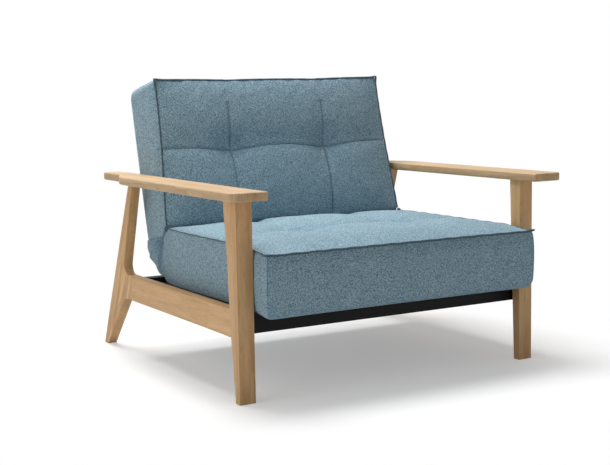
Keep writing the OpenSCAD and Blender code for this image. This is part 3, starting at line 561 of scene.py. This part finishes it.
def roundEdges(piece, kind):
    mesh = bmesh.new()
    mesh.from_mesh(piece.data)
    for edge in mesh.edges:
        edge.select = False
    chosen = [edge for edge in mesh.edges if isFree(edge, kind)]
    bmesh.ops.bevel(mesh, geom=chosen, offset=boards[kind]["round"], offset_type="OFFSET",
        segments=rounding["segments"], profile=rounding["profile"], affect="EDGES", clamp_overlap=True)
    mesh.to_mesh(piece.data)
    mesh.free()
    pickOnly(piece)
    bpy.ops.object.shade_smooth_by_angle(angle=math.radians(rounding["smooth"]))


for kind, look in boards.items():
    for sideName in ("left", "right"):
        nodeName = sideName + "_" + kind
        board = copyOf(nodeName, sideName + "Oak_" + kind)
        roundEdges(board, kind)
        paint(board, look["finish"] + sideName.capitalize())
        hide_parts(nodeName)
        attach(board, "base")
print("oak boards rounded")


# Cushions: the crowned form of each, swollen by a cloth simulation between its held seams

# What both cushions share. A ramp is where it starts and how far it goes. The heights are shares
# of the thickness, and the insets and bulges are shares of the edge radius and the band's bulge there.
mattress = {
    "creaseHalf": 0.437, "creaseY": 0.154233, "seamZ": 0.418, "foldAngle": 77,
    "pivotDepth": 0.032, "creaseClear": 0.006, "endGap": 0.0015, "nearInset": 0.45,
    "bandBulge": 0.007, "leastBulge": 0.4, "bulgePower": 4, "drawPower": 3, "edgeRadius": 0.014,
    "heights": (0, 0.02, 0.05, 0.14, 0.45, 0.8, 0.92, 0.98, 1),
    "insets": (1, 0.55, 0.25, 0.03, 0, 0, 0.11, 0.28, 0.19),
    "bulges": (0, 0.05, 0.12, 0.6, 1, 0.8, 0.35, 0.08, 0),
    "cornerPower": 8, "scallopWide": 0.07, "scallopBetween": 0.5, "topFrom": 0.9999,
    "scallopRamp": (0.6, 0.4), "dropRamp": (0.8, 0.2), "sagRamp": (0.84, 0.16),
    "tuftX": 0.175, "cross": 0.5, "bowOver": 0.16, "endPower": 6, "dipPower": 10, "tuftSquash": 0.85,
    "nearWide": 0.09, "lineFade": 0.7, "fadeRamp": (0.75, 0.2),
    "slot": (0.372, 0.403), "slotLength": 0.128, "slotFloor": 0.012, "slotRoof": 0.0137, "slotOver": 0.04,
    "start": 0.85, "cuts": 35, "crowding": 1.15, "voxel": 0.006, "smoothing": {"factor": 0.5, "repeat": 2},
}
cushions = {
    "seat": {
        "node": "seat_cover", "body": "base", "finish": "seatWeave",
        "thick": 0.176, "length": 0.683, "farHalf": 0.454, "lowHalf": 0.454, "taper": 8, "corner": 0.01,
        "sideDraw": 0.008, "farDraw": 0.008, "lowDraw": 1, "drop": 0.011, "sag": 0.0075, "farScallop": 0.0,
        "crown": 0.023, "crownPower": 3.4, "crossDip": 0.01, "crossWide": (0.034, 0.034), "bow": 0.006,
        "lineDip": 0.006, "lineWide": 0.034, "tuftDip": 0.016, "tuftWide": 0.06, "nearDip": 0.02,
        "seamDepth": 0.35, "seamReach": 0.8, "lineSides": (), "faintSides": 0.55,
    },
    "back": {
        "node": "back_cover", "body": "back", "finish": "backWeave",
        "thick": 0.165, "length": 0.471, "farHalf": 0.418, "lowHalf": 0.44, "taper": 1, "corner": 0.026,
        "sideDraw": 0.0055, "farDraw": 0.002, "lowDraw": 0, "drop": 0, "sag": 0, "farScallop": 0.002,
        "crown": 0.02, "crownPower": 6, "crossDip": 0.011, "crossWide": (0.02, 0.05), "bow": 0.011,
        "lineDip": 0.003, "lineWide": 0.02, "tuftDip": 0.015, "tuftWide": 0.055, "nearDip": 0.006,
        "seamDepth": 1, "seamReach": 0.82, "lineSides": (-1, 1), "faintSides": 0.2,
    },
}
backTurn = math.radians(mattress["foldAngle"])
backCos, backSin = math.cos(backTurn), math.sin(backTurn)
pivotShift = mattress["pivotDepth"] * math.tan(math.radians(mattress["foldAngle"] / 2))

# Keeps a division away from zero
tiny = 1e-9


def arch(t, power):
    return 1 - np.abs(2 * t - 1) ** power


def softStep(t):
    return (1 - np.cos(np.pi * np.clip(t, 0, 1))) / 2


def ramp(value, start, over):
    return softStep((value - start) / over)


def bell(t):
    return np.exp(-t * t)


def atLeast(least, share):
    return least + (1 - least) * share


# Where the cross seam runs: it bows away from the crease between the tufts
def crossAt(look, x):
    fromTuft = np.abs(np.abs(x) - mattress["tuftX"])
    return mattress["cross"] * look["length"] + look["bow"] * softStep(fromTuft / mattress["bowOver"])


# How far the padded face stands over its seams, at the shares a across and b along the cushion
def crownAt(look, a, b, fullness=1.0):
    m = mattress
    x = (2 * a - 1) * look["farHalf"]
    y = b * look["length"]
    middle = crossAt(look, x)
    fromLine = np.abs(x) - m["tuftX"]
    edge = arch(a, look["crownPower"]) * arch(b, m["endPower"])
    side = np.where(y < middle, look["crossWide"][0], look["crossWide"][1])
    cross = look["crossDip"] * bell((y - middle) / side)
    lineDip = look["lineDip"] + look["nearDip"] * bell(y / m["nearWide"])
    lines = bell(fromLine / look["lineWide"]) * lineDip * (1 - m["lineFade"] * ramp(b, *m["fadeRamp"]))
    reach = np.hypot(fromLine, (y - middle) * m["tuftSquash"])
    tufts = look["tuftDip"] * bell(reach / look["tuftWide"])
    dips = (np.maximum(cross, lines) + tufts) * arch(a, m["dipPower"])
    # The dips fade out at the far end, and run on into the crease at the near end
    kept = np.where(b < 0.5, 1, arch(b, m["dipPower"]))
    return edge * look["crown"] * fullness - dips * kept


# A cushion's point in its plan, at the shares a across, b along and h up
def inPlan(look, a, b, h, fullness=1.0):
    m = mattress
    z = h * look["thick"]
    inset = np.interp(h, m["heights"], m["insets"]) * m["edgeRadius"]
    bulge = np.interp(h, m["heights"], m["bulges"]) * m["bandBulge"] * atLeast(m["leastBulge"], fullness)
    low = m["endGap"] - pivotShift
    rise = np.clip((z - look["thick"] + m["pivotDepth"]) / m["pivotDepth"], 0, 1)
    near = low + rise * (m["creaseClear"] - low) + inset * m["nearInset"]
    farBulge = bulge * atLeast(m["leastBulge"], arch(a, m["bulgePower"]))
    far = look["length"] - look["farDraw"] * arch(a, m["drawPower"]) - inset + farBulge
    farHalf = look["lowHalf"] + (look["farHalf"] - look["lowHalf"]) * h
    half = farHalf + (m["creaseHalf"] - farHalf) * (1 - b) ** look["taper"]
    drawn = look["sideDraw"] * arch(b, m["drawPower"]) * np.minimum(b / m["cross"], 1)
    drawn = drawn * atLeast(look["lowDraw"], h)
    half = half - drawn - inset + bulge * atLeast(m["leastBulge"], arch(b, m["bulgePower"]))
    x = (2 * a - 1) * half
    y = near + b * (far - near)
    scallop = look["farScallop"] * bell((np.abs(x) - m["tuftX"]) / m["scallopWide"])
    scallop = scallop + look["farScallop"] * m["scallopBetween"] * (np.abs(x) < m["tuftX"])
    # Under the seam the far corners are round: their squares are drawn in to quarter discs
    radius = look["corner"] * (1 - h ** m["cornerPower"]) + tiny
    u = np.clip((np.abs(x) - half + radius) / radius, 0, 1)
    v = np.clip((y - far + radius) / radius, 0, 1)
    x = x - np.sign(x) * radius * u * (1 - np.sqrt(1 - v * v / 2))
    y = y - radius * v * (1 - np.sqrt(1 - u * u / 2)) - scallop * h * ramp(b, *m["scallopRamp"])
    z = z - look["drop"] * ramp(b, *m["dropRamp"]) * h - look["sag"] * ramp(b, *m["sagRamp"]) * (1 - h)
    return x, y, np.where(h > m["topFrom"], z + crownAt(look, a, b, fullness), z)


# From a cushion's plan to the object's frame: Y along it from the crease, Z up from its outer face
def toWorld(name, x, y, z):
    creaseY, seamZ = mattress["creaseY"], mattress["seamZ"]
    thick = cushions[name]["thick"]
    if name == "seat":
        return np.stack([x, creaseY - y, seamZ - thick + z], -1)
    deep = z - thick
    return np.stack([x, creaseY + y * backCos - deep * backSin, seamZ + y * backSin + deep * backCos], -1)


def toPlan(name, points):
    x, y, z = points[:, 0], points[:, 1] - mattress["creaseY"], points[:, 2] - mattress["seamZ"]
    thick = cushions[name]["thick"]
    if name == "seat":
        return x, -y, z + thick
    return x, y * backCos + z * backSin, -y * backSin + z * backCos + thick


def makeCushionForm(name):
    bpy.ops.object.select_all(action="DESELECT")
    bpy.ops.mesh.primitive_cube_add(size=1)
    piece = bpy.context.object
    piece.name = name + "Cushion"
    onWholeMesh((bpy.ops.mesh.subdivide, {"number_cuts": mattress["cuts"]}))
    a, b, h = (readPoints(piece.data) + 0.5).T
    a = 0.5 + np.sign(a - 0.5) * (1 - (1 - np.abs(2 * a - 1)) ** mattress["crowding"]) / 2
    writePoints(piece.data, toWorld(name, *inPlan(cushions[name], a, b, h, mattress["start"])))
    faceOutward()
    return piece


# Slots in the end of a cushion for its two hinge plates
def cutSlots(piece, name):
    m = mattress
    low, high = m["slotFloor"], cushions[name]["thick"] - m["slotRoof"]
    inner, outer = m["slot"]
    for side in (-1, 1):
        bpy.ops.object.select_all(action="DESELECT")
        bpy.ops.mesh.primitive_cube_add(size=1)
        cutter = bpy.context.object
        x, y, z = (readPoints(cutter.data) + 0.5).T
        x = side * (inner + outer) / 2 + (x - 0.5) * (outer - inner)
        y = -pivotShift - m["slotOver"] + y * (m["slotLength"] + pivotShift + m["slotOver"])
        writePoints(cutter.data, toWorld(name, x, y, low + z * (high - low)))
        faceOutward()
        pickOnly(piece)
        cut = piece.modifiers.new("slot", "BOOLEAN")
        cut.operation, cut.object, cut.solver = "DIFFERENCE", cutter, "EXACT"
        bpy.ops.object.modifier_apply(modifier=cut.name)
        bpy.data.objects.remove(cutter)


def remeshCushion(piece):
    pickOnly(piece)
    piece.data.remesh_voxel_size = mattress["voxel"]
    bpy.ops.object.voxel_remesh()
    onWholeMesh((bpy.ops.mesh.vertices_smooth, mattress["smoothing"]))


# How free each point of a cushion is to swell: the cover is held along its rim, seams and tufts
hold = {
    "sideIn": 0.006, "farIn": 0.008, "nearOut": 0.004, "rimOver": 0.05, "seamOver": 0.05, "leastAtSeam": 0.35,
    "tuftRamp": (0.006, 0.05), "rimDown": 0.012, "bandOver": 0.04, "lowRamp": (0.02, 0.04),
    "nearRamp": (0.02, 0.06), "bandFree": 0.6,
}


# Share from 0, held, to 1, free
def freedom(name, points):
    look = cushions[name]
    x, y, z = toPlan(name, points)
    fromSides = look["farHalf"] - hold["sideIn"] - np.abs(x)
    fromEnds = np.minimum(look["length"] - hold["farIn"] - y, y + hold["nearOut"])
    fromRim = np.minimum(fromSides, fromEnds)
    fromLine = np.abs(np.abs(x) - mattress["tuftX"])
    fromCross = np.abs(y - crossAt(look, x))
    fromSeam = softStep(np.minimum(fromLine, fromCross) / hold["seamOver"])
    top = softStep(fromRim / hold["rimOver"]) * atLeast(hold["leastAtSeam"], fromSeam)
    top = top * ramp(np.hypot(fromLine, fromCross), *hold["tuftRamp"])
    rimZ = look["thick"] - hold["rimDown"]
    band = softStep((rimZ - z) / hold["bandOver"]) * ramp(z, *hold["lowRamp"]) * ramp(y, *hold["nearRamp"])
    return np.where(z > rimZ - look["drop"], top, band * hold["bandFree"])


swelling = {
    "frames": 20, "quality": 2, "pressure": 4.0, "mass": 0.3, "stiffness": 15.0, "bending": 0.5,
    "levels": 10, "cap": 0.012, "leastCap": 1e-6,
}


def swell(piece, name):
    rest = readPoints(piece.data)
    free = freedom(name, rest)
    levels = swelling["levels"]
    held = piece.vertex_groups.new(name="held")
    for level in range(1, levels + 1):
        chosen = np.nonzero(np.round((1 - free) * levels).astype(int) == level)[0]
        if len(chosen):
            held.add(chosen.tolist(), level / levels, "REPLACE")
    cloth = piece.modifiers.new("swell", "CLOTH")
    settings = cloth.settings
    settings.quality = swelling["quality"]
    settings.mass = swelling["mass"]
    settings.tension_stiffness = settings.compression_stiffness = swelling["stiffness"]
    settings.bending_stiffness = swelling["bending"]
    settings.vertex_group_mass = held.name
    settings.use_pressure = True
    settings.uniform_pressure_force = swelling["pressure"]
    settings.effector_weights.gravity = 0
    cloth.collision_settings.use_collision = False
    cloth.collision_settings.use_self_collision = False
    cloth.point_cache.frame_start, cloth.point_cache.frame_end = 1, swelling["frames"]
    for frameNumber in range(1, swelling["frames"] + 1):
        scene.frame_set(frameNumber)
    shaped = piece.evaluated_get(bpy.context.evaluated_depsgraph_get())
    moved = readPoints(shaped.data) - rest
    piece.modifiers.remove(cloth)
    piece.vertex_groups.remove(held)
    scene.frame_set(1)
    far = np.linalg.norm(moved, axis=1)
    cap = swelling["cap"] * free + swelling["leastCap"]
    moved *= (cap * np.tanh(far / cap) / np.maximum(far, tiny))[:, None]
    writePoints(piece.data, rest + moved)
    print(name, "swollen: most", round(float(far.max()) * 1000, 1), "mm before the cap")


def refine(piece):
    pickOnly(piece)
    smooth = piece.modifiers.new("finer", "SUBSURF")
    smooth.levels = smooth.render_levels = 1
    bpy.ops.object.modifier_apply(modifier=smooth.name)


# Sewn lines, puckers at the tufts and slack of the cover, pressed into the fine mesh
wrinkles = {
    "seamIn": 0.012, "crossPoints": 121, "linePoints": 71, "topRamp": (-0.03, 0.02),
    "grooveDeep": 0.0034, "grooveWide": 0.0045, "endAway": 0.05, "endOver": 0.05,
    "puckerDeep": 0.002, "puckers": 9, "puckerTurn": 2, "puckerAt": 0.02, "puckerWide": 0.022,
    "slack": 0.0005, "slackRamp": (0.03, 0.03),
}

# The cover's slack: waves in radians per metre, and how far a slower wave bends each
slackWaves = {
    "x": 61, "bendX": 3, "slowY": 23, "y": 47, "bendY": 2, "slowX": 17, "phase": 1,
    "z": 95, "bendZ": 4, "crossY": 13, "crossX": 9, "slantY": 31, "slantX": 19, "fineShare": 0.6,
}


# Lines of points, in a cushion's plan, that its sewn seams follow
def seamsOf(name):
    look = cushions[name]
    farX = look["farHalf"] - wrinkles["seamIn"]
    across = np.linspace(-farX, farX, wrinkles["crossPoints"])
    along = np.linspace(wrinkles["seamIn"], look["length"] * look["seamReach"], wrinkles["linePoints"])
    lines = [np.stack([across, crossAt(look, across)], -1)]
    for side in look["lineSides"]:
        lines.append(np.stack([np.full(len(along), side * mattress["tuftX"]), along], -1))
    return lines


# Uneven ripples, from about -1.6 to 1.6
def ripples(x, y, z):
    w = slackWaves
    across = np.sin(x * w["x"] + w["bendX"] * np.sin(y * w["slowY"]))
    along = np.sin(y * w["y"] + w["bendY"] * np.sin(x * w["slowX"] + w["phase"]))
    upright = np.sin(z * w["z"] + w["bendZ"] * np.sin(y * w["crossY"] + x * w["crossX"]))
    slanted = np.sin(y * w["slantY"] + x * w["slantX"])
    return across * along + w["fineShare"] * upright * slanted


def pressSeams(piece, name):
    look, w = cushions[name], wrinkles
    points, normals = readPoints(piece.data), readPoints(piece.data, "normal")
    x, y, z = toPlan(name, points)
    onTop = ramp(z - look["thick"], *w["topRamp"])
    fromLine = np.abs(x) - mattress["tuftX"]
    pastEnd = w["endAway"] * ramp(y / look["length"], look["seamReach"], w["endOver"])
    lineGroove = look["seamDepth"] * bell((np.abs(fromLine) + pastEnd) / w["grooveWide"])
    crossGroove = bell(np.abs(y - crossAt(look, x)) / w["grooveWide"])
    depth = w["grooveDeep"] * np.maximum(lineGroove, crossGroove)
    fromMiddle = y - mattress["cross"] * look["length"]
    angle = np.arctan2(fromMiddle, fromLine)
    around = 0.5 + 0.5 * np.cos(angle * w["puckers"] + w["puckerTurn"] * np.sign(x))
    pucker = around * bell((np.hypot(fromMiddle, fromLine) - w["puckerAt"]) / w["puckerWide"])
    depth = (depth + w["puckerDeep"] * pucker) * onTop
    slack = w["slack"] * ripples(x, y, z) * ramp(z, *w["slackRamp"])
    writePoints(piece.data, points - normals * depth[:, None] + normals * slack[:, None])


cushionPieces = {}
for name in ("seat", "back"):
    piece = makeCushionForm(name)
    cutSlots(piece, name)
    remeshCushion(piece)
    swell(piece, name)
    refine(piece)
    pressSeams(piece, name)
    shadeSmooth(piece)
    paint(piece, cushions[name]["finish"])
    cushionPieces[name] = piece
    print(name, "cushion has", len(piece.data.polygons), "faces")


# Underside of the seat: a shallow step where the black dust cloth is set in
dustStep = {"clear": 0.002, "deep": 0.004}


def setInDustCloth(piece):
    low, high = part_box("seat_dust_cloth")
    points = readPoints(piece.data)
    x, y, z = points.T
    inside = np.abs(x) < high.x + dustStep["clear"]
    inside &= (y > low.y - dustStep["clear"]) & (y < high.y + dustStep["clear"])
    roof = high.z + dustStep["deep"]
    points[inside & (z < roof), 2] = roof
    writePoints(piece.data, points)


setInDustCloth(cushionPieces["seat"])


# Piping, sewn lines and knots, laid on the finished cushions
trim = {
    "roundness": 3, "tip": 0.45, "tipStep": 0.1,
    "pipingRadius": 0.0034, "alongPoints": 90, "acrossPoints": 130, "rimFrom": 0.999, "inward": 0.0012,
    "sunk": 0.0008, "waveHigh": 0.0006, "waveTurn": 0.7, "faintFrom": 0.97, "faintOver": 0.06,
    "ear": 0.004, "earReach": 0.014, "earOut": 0.5, "earUp": 0.6,
    "seamRadius": 0.0008, "seamLift": 0.0003, "castFrom": 0.06, "castLength": 0.12,
    "edgePoints": 24, "edgeThicker": 1.3, "edgeLift": 0.0004,
    "edges": {"Corner": (1.0, 0.97, 0.1), "Crease": (0.022, 0.95, 0.6)},
    "knot": (0.0065, 0.008, 0.009), "knotSunk": (0.001, 0.002, 0.003),
    "knotMesh": {"segments": 24, "ring_count": 14}, "lumps": 0.08, "lumpX": 7, "lumpY": 5, "lumpPhase": 1,
}


def tube(name, points, radius, finish, body, sizes=None):
    curve = bpy.data.curves.new(name, "CURVE")
    curve.dimensions = "3D"
    curve.bevel_depth = radius
    curve.bevel_resolution = trim["roundness"]
    curve.use_fill_caps = True
    spline = curve.splines.new("POLY")
    spline.points.add(len(points) - 1)
    if sizes is None:
        fromTip = [min(i, len(points) - 1 - i) for i in range(len(points))]
        sizes = [min(1, trim["tip"] + trim["tipStep"] * i) for i in fromTip]
    for bead, place, size in zip(spline.points, points, sizes):
        bead.co = (*place, 1)
        bead.radius = size
    piece = bpy.data.objects.new(name, curve)
    scene.collection.objects.link(piece)
    pickOnly(piece)
    bpy.ops.object.convert(target="MESH")
    piece = bpy.context.object
    shadeSmooth(piece)
    faceOutward()
    paint(piece, finish)
    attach(piece, body)


# The rim of a cushion's face, with an ear at each far corner, and the share of its width at each point
def pipingPath(name):
    look = cushions[name]
    along = np.linspace(0.0, 1.0, trim["alongPoints"])
    across = np.linspace(0.0, 1.0, trim["acrossPoints"])[1:-1]
    a = np.concatenate([np.zeros(len(along)), across, np.ones(len(along))])
    b = np.concatenate([along, np.ones(len(across)), along[::-1]])
    x, y, z = inPlan(look, a, b, np.ones(len(a)))
    cornerX, cornerY, _ = inPlan(look, *np.ones((3, 1)))
    ear = trim["ear"] * bell(np.hypot(np.abs(x) - cornerX, y - cornerY) / trim["earReach"])
    atSide, atFar = np.abs(2 * a - 1) > trim["rimFrom"], b > trim["rimFrom"]
    x = x - np.sign(x) * trim["inward"] * atSide + np.sign(x) * ear * trim["earOut"]
    y = y - trim["inward"] * atFar + ear * trim["earOut"]
    wave = trim["waveHigh"] * np.sin(np.arange(len(a)) * trim["waveTurn"])
    z = z - trim["sunk"] + ear * trim["earUp"] + wave
    sizes = 1 - look["faintSides"] * softStep((trim["faintFrom"] - b) / trim["faintOver"])
    return toWorld(name, x, y, z), sizes


# A line of the plan, dropped on the cushion's face
def onSurface(tree, name, line):
    foot, head = toWorld(name, np.zeros(2), np.zeros(2), np.array([0.0, 1.0]))
    high = np.full(len(line), cushions[name]["thick"] + trim["castFrom"])
    found = []
    for start in toWorld(name, line[:, 0], line[:, 1], high):
        place, normal, _, _ = tree.ray_cast(Vector(start), Vector(foot - head), trim["castLength"])
        if place is not None:
            found.append(place + normal * trim["seamLift"])
    return found


# Upright seams at the far corners and at the crease, hugging the cushion's sides
def sewEdges(tree, name):
    look, count = cushions[name], trim["edgePoints"]
    for side in (0.0, 1.0):
        for label, (along, high, low) in trim["edges"].items():
            plan = inPlan(look, np.full(count, side), np.full(count, along), np.linspace(high, low, count))
            hugged = [tree.find_nearest(Vector(p)) for p in toWorld(name, *plan)]
            path = [place + normal * trim["edgeLift"] for place, normal, _, _ in hugged]
            radius = trim["seamRadius"] * trim["edgeThicker"]
            tube(f"{name}{label}Seam{int(side) + 1}", path, radius, "seam", look["body"])


for name, piece in cushionPieces.items():
    body = cushions[name]["body"]
    path, widths = pipingPath(name)
    tube(name + "Piping", path, trim["pipingRadius"], "piping", body, widths)
    tree = BVHTree.FromObject(piece, bpy.context.evaluated_depsgraph_get())
    for number, line in enumerate(seamsOf(name)):
        tube(f"{name}Seam{number + 1}", onSurface(tree, name, line), trim["seamRadius"], "seam", body)
    if name == "seat":
        sewEdges(tree, name)


# A knot at each end of the crease, where the two cushions are sewn together
def makeKnot(side):
    bpy.ops.object.select_all(action="DESELECT")
    bpy.ops.mesh.primitive_uv_sphere_add(radius=1, **trim["knotMesh"])
    knot = bpy.context.object
    knot.name = "creaseKnotRight" if side > 0 else "creaseKnotLeft"
    points = readPoints(knot.data)
    alongX = np.sin(points[:, 0] * trim["lumpX"] + side)
    alongY = np.sin(points[:, 1] * trim["lumpY"] + trim["lumpPhase"])
    lumps = 1 + trim["lumps"] * alongX * alongY
    inX, inY, inZ = trim["knotSunk"]
    place = (side * (mattress["creaseHalf"] - inX), mattress["creaseY"] - inY, mattress["seamZ"] - inZ)
    writePoints(knot.data, points * lumps[:, None] * trim["knot"] + place)
    shadeSmooth(knot)
    paint(knot, "piping")
    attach(knot, "base")


for side in (-1, 1):
    makeKnot(side)
print("piping, seams and knots laid")


# Fold gusset: the cover round the outside of the fold, with a wrinkled cheek at each side.
# The outline is a turn about the pivot and the distance there, and a ridge is its turn and its width.
fold = {
    "pivotY": 0.179687, "pivotZ": 0.386, "from": -93.0, "to": -10.0, "half": 0.4395, "reach": 0.129,
    "outline": ((-93, 0.129), (-87, 0.1277), (-78, 0.1222), (-67, 0.1177), (-54, 0.1142),
        (-46, 0.119), (-38, 0.1243), (-27, 0.1297), (-18, 0.1285), (-10, 0.129)),
    "apex": 0.006, "corner": 0.013, "thick": 0.004, "blendCentre": 0.07, "blendHalf": 0.062,
    "cheekPoints": 26, "cornerPoints": 8, "bandPoints": 58, "turnPoints": 49,
    "ridges": ((-82, 4.5), (-68, 5), (-53, 5), (-38, 5), (-24, 5)), "ridgeHigh": 0.012,
    "ridgeAt": 0.5, "ridgeOver": 0.45, "ridgeSwing": 5, "leastRidge": 0.7, "ridgeVary": 0.3, "varyTurn": 2.1,
    "narrow": 0.7, "widen": 0.5, "pinchDeep": 0.007, "pinchOver": 0.2,
    "fullHigh": 0.0035, "fullAt": 0.7, "fullOver": 0.3,
    "waveHigh": 0.0016, "waveX": 37, "waveBend": 2, "waveT": 5,
}


# Across the gusset, from apex to apex: the places across it, and the distances from the pivot
def foldProfile():
    corner, half, apex = fold["corner"], fold["half"], fold["apex"]
    cheek = np.linspace(0, 1, fold["cheekPoints"])
    bend = np.linspace(0, 1, fold["cornerPoints"] + 1)[1:] * np.pi / 2
    band = np.linspace(0, 1, fold["bandPoints"] + 2)[1:-1]
    straight = fold["reach"] - corner
    acrossBand = corner + band * (2 * half - 2 * corner)
    x = np.concatenate([np.zeros(len(cheek)), corner * (1 - np.cos(bend)), acrossBand])
    upCheek = apex + cheek * (straight - apex)
    r = np.concatenate([upCheek, straight + corner * np.sin(bend), np.full(len(band), fold["reach"])])
    side = len(cheek) + len(bend)
    return np.concatenate([x - half, (half - x[:side])[::-1]]), np.concatenate([r, r[:side][::-1]])


# How far the ridges stand out of the cheeks, at a turn and a share of the reach
def ridgesAt(x, turn, share):
    total = np.zeros(len(x))
    for number, (at, wide) in enumerate(fold["ridges"]):
        swing = at + fold["ridgeSwing"] * np.sign(x) * (number % 2 - 0.5) * share
        high = fold["leastRidge"] + fold["ridgeVary"] * np.cos(number * fold["varyTurn"])
        total = total + high * bell((turn - swing) / (wide * (fold["narrow"] + fold["widen"] * share)))
    return total * fold["ridgeHigh"] * bell((share - fold["ridgeAt"]) / fold["ridgeOver"])


def makeGusset():
    profileX, profileR = foldProfile()
    steps = len(profileX) - 1
    bpy.ops.object.select_all(action="DESELECT")
    bpy.ops.mesh.primitive_grid_add(x_subdivisions=steps, y_subdivisions=fold["turnPoints"] - 1, size=2)
    piece = bpy.context.object
    piece.name = "foldGusset"
    grid = readPoints(piece.data)
    i = np.round((grid[:, 0] + 1) / 2 * steps).astype(int)
    t = (grid[:, 1] + 1) / 2
    turn = fold["from"] + (fold["to"] - fold["from"]) * t
    x, r = profileX[i], profileR[i]
    onCheek = softStep((np.abs(x) - fold["half"] + fold["corner"]) / fold["corner"])
    share = r / fold["reach"]
    pinch = fold["pinchDeep"] * bell(share / fold["pinchOver"])
    full = fold["fullHigh"] * np.sin(np.pi * t) * bell((share - fold["fullAt"]) / fold["fullOver"])
    x = x + np.sign(x) * onCheek * (ridgesAt(x, turn, share) - (pinch - full))
    drawnIn = (fold["reach"] - np.interp(turn, *zip(*fold["outline"]))) * softStep(share)
    wave = fold["waveHigh"] * np.sin(x * fold["waveX"] + fold["waveBend"] * np.sin(t * fold["waveT"]))
    r = r - drawnIn + wave * (1 - onCheek)
    angle = np.radians(turn)
    y, z = fold["pivotY"] + r * np.cos(angle), fold["pivotZ"] + r * np.sin(angle)
    writePoints(piece.data, np.stack([x, y, z], -1))
    wall = piece.modifiers.new("wall", "SOLIDIFY")
    wall.thickness, wall.offset = fold["thick"], -1
    pickOnly(piece)
    faceOutward()
    bpy.ops.object.modifier_apply(modifier=wall.name)
    refine(piece)
    shadeSmooth(piece)
    paint(piece, "foldWeave")
    return piece


gusset = makeGusset()
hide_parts("fold_gusset")
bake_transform(gusset)
print("fold gusset made")

for name, piece in cushionPieces.items():
    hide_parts(cushions[name]["node"])
    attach(piece, cushions[name]["body"])
print("cushions sewn")
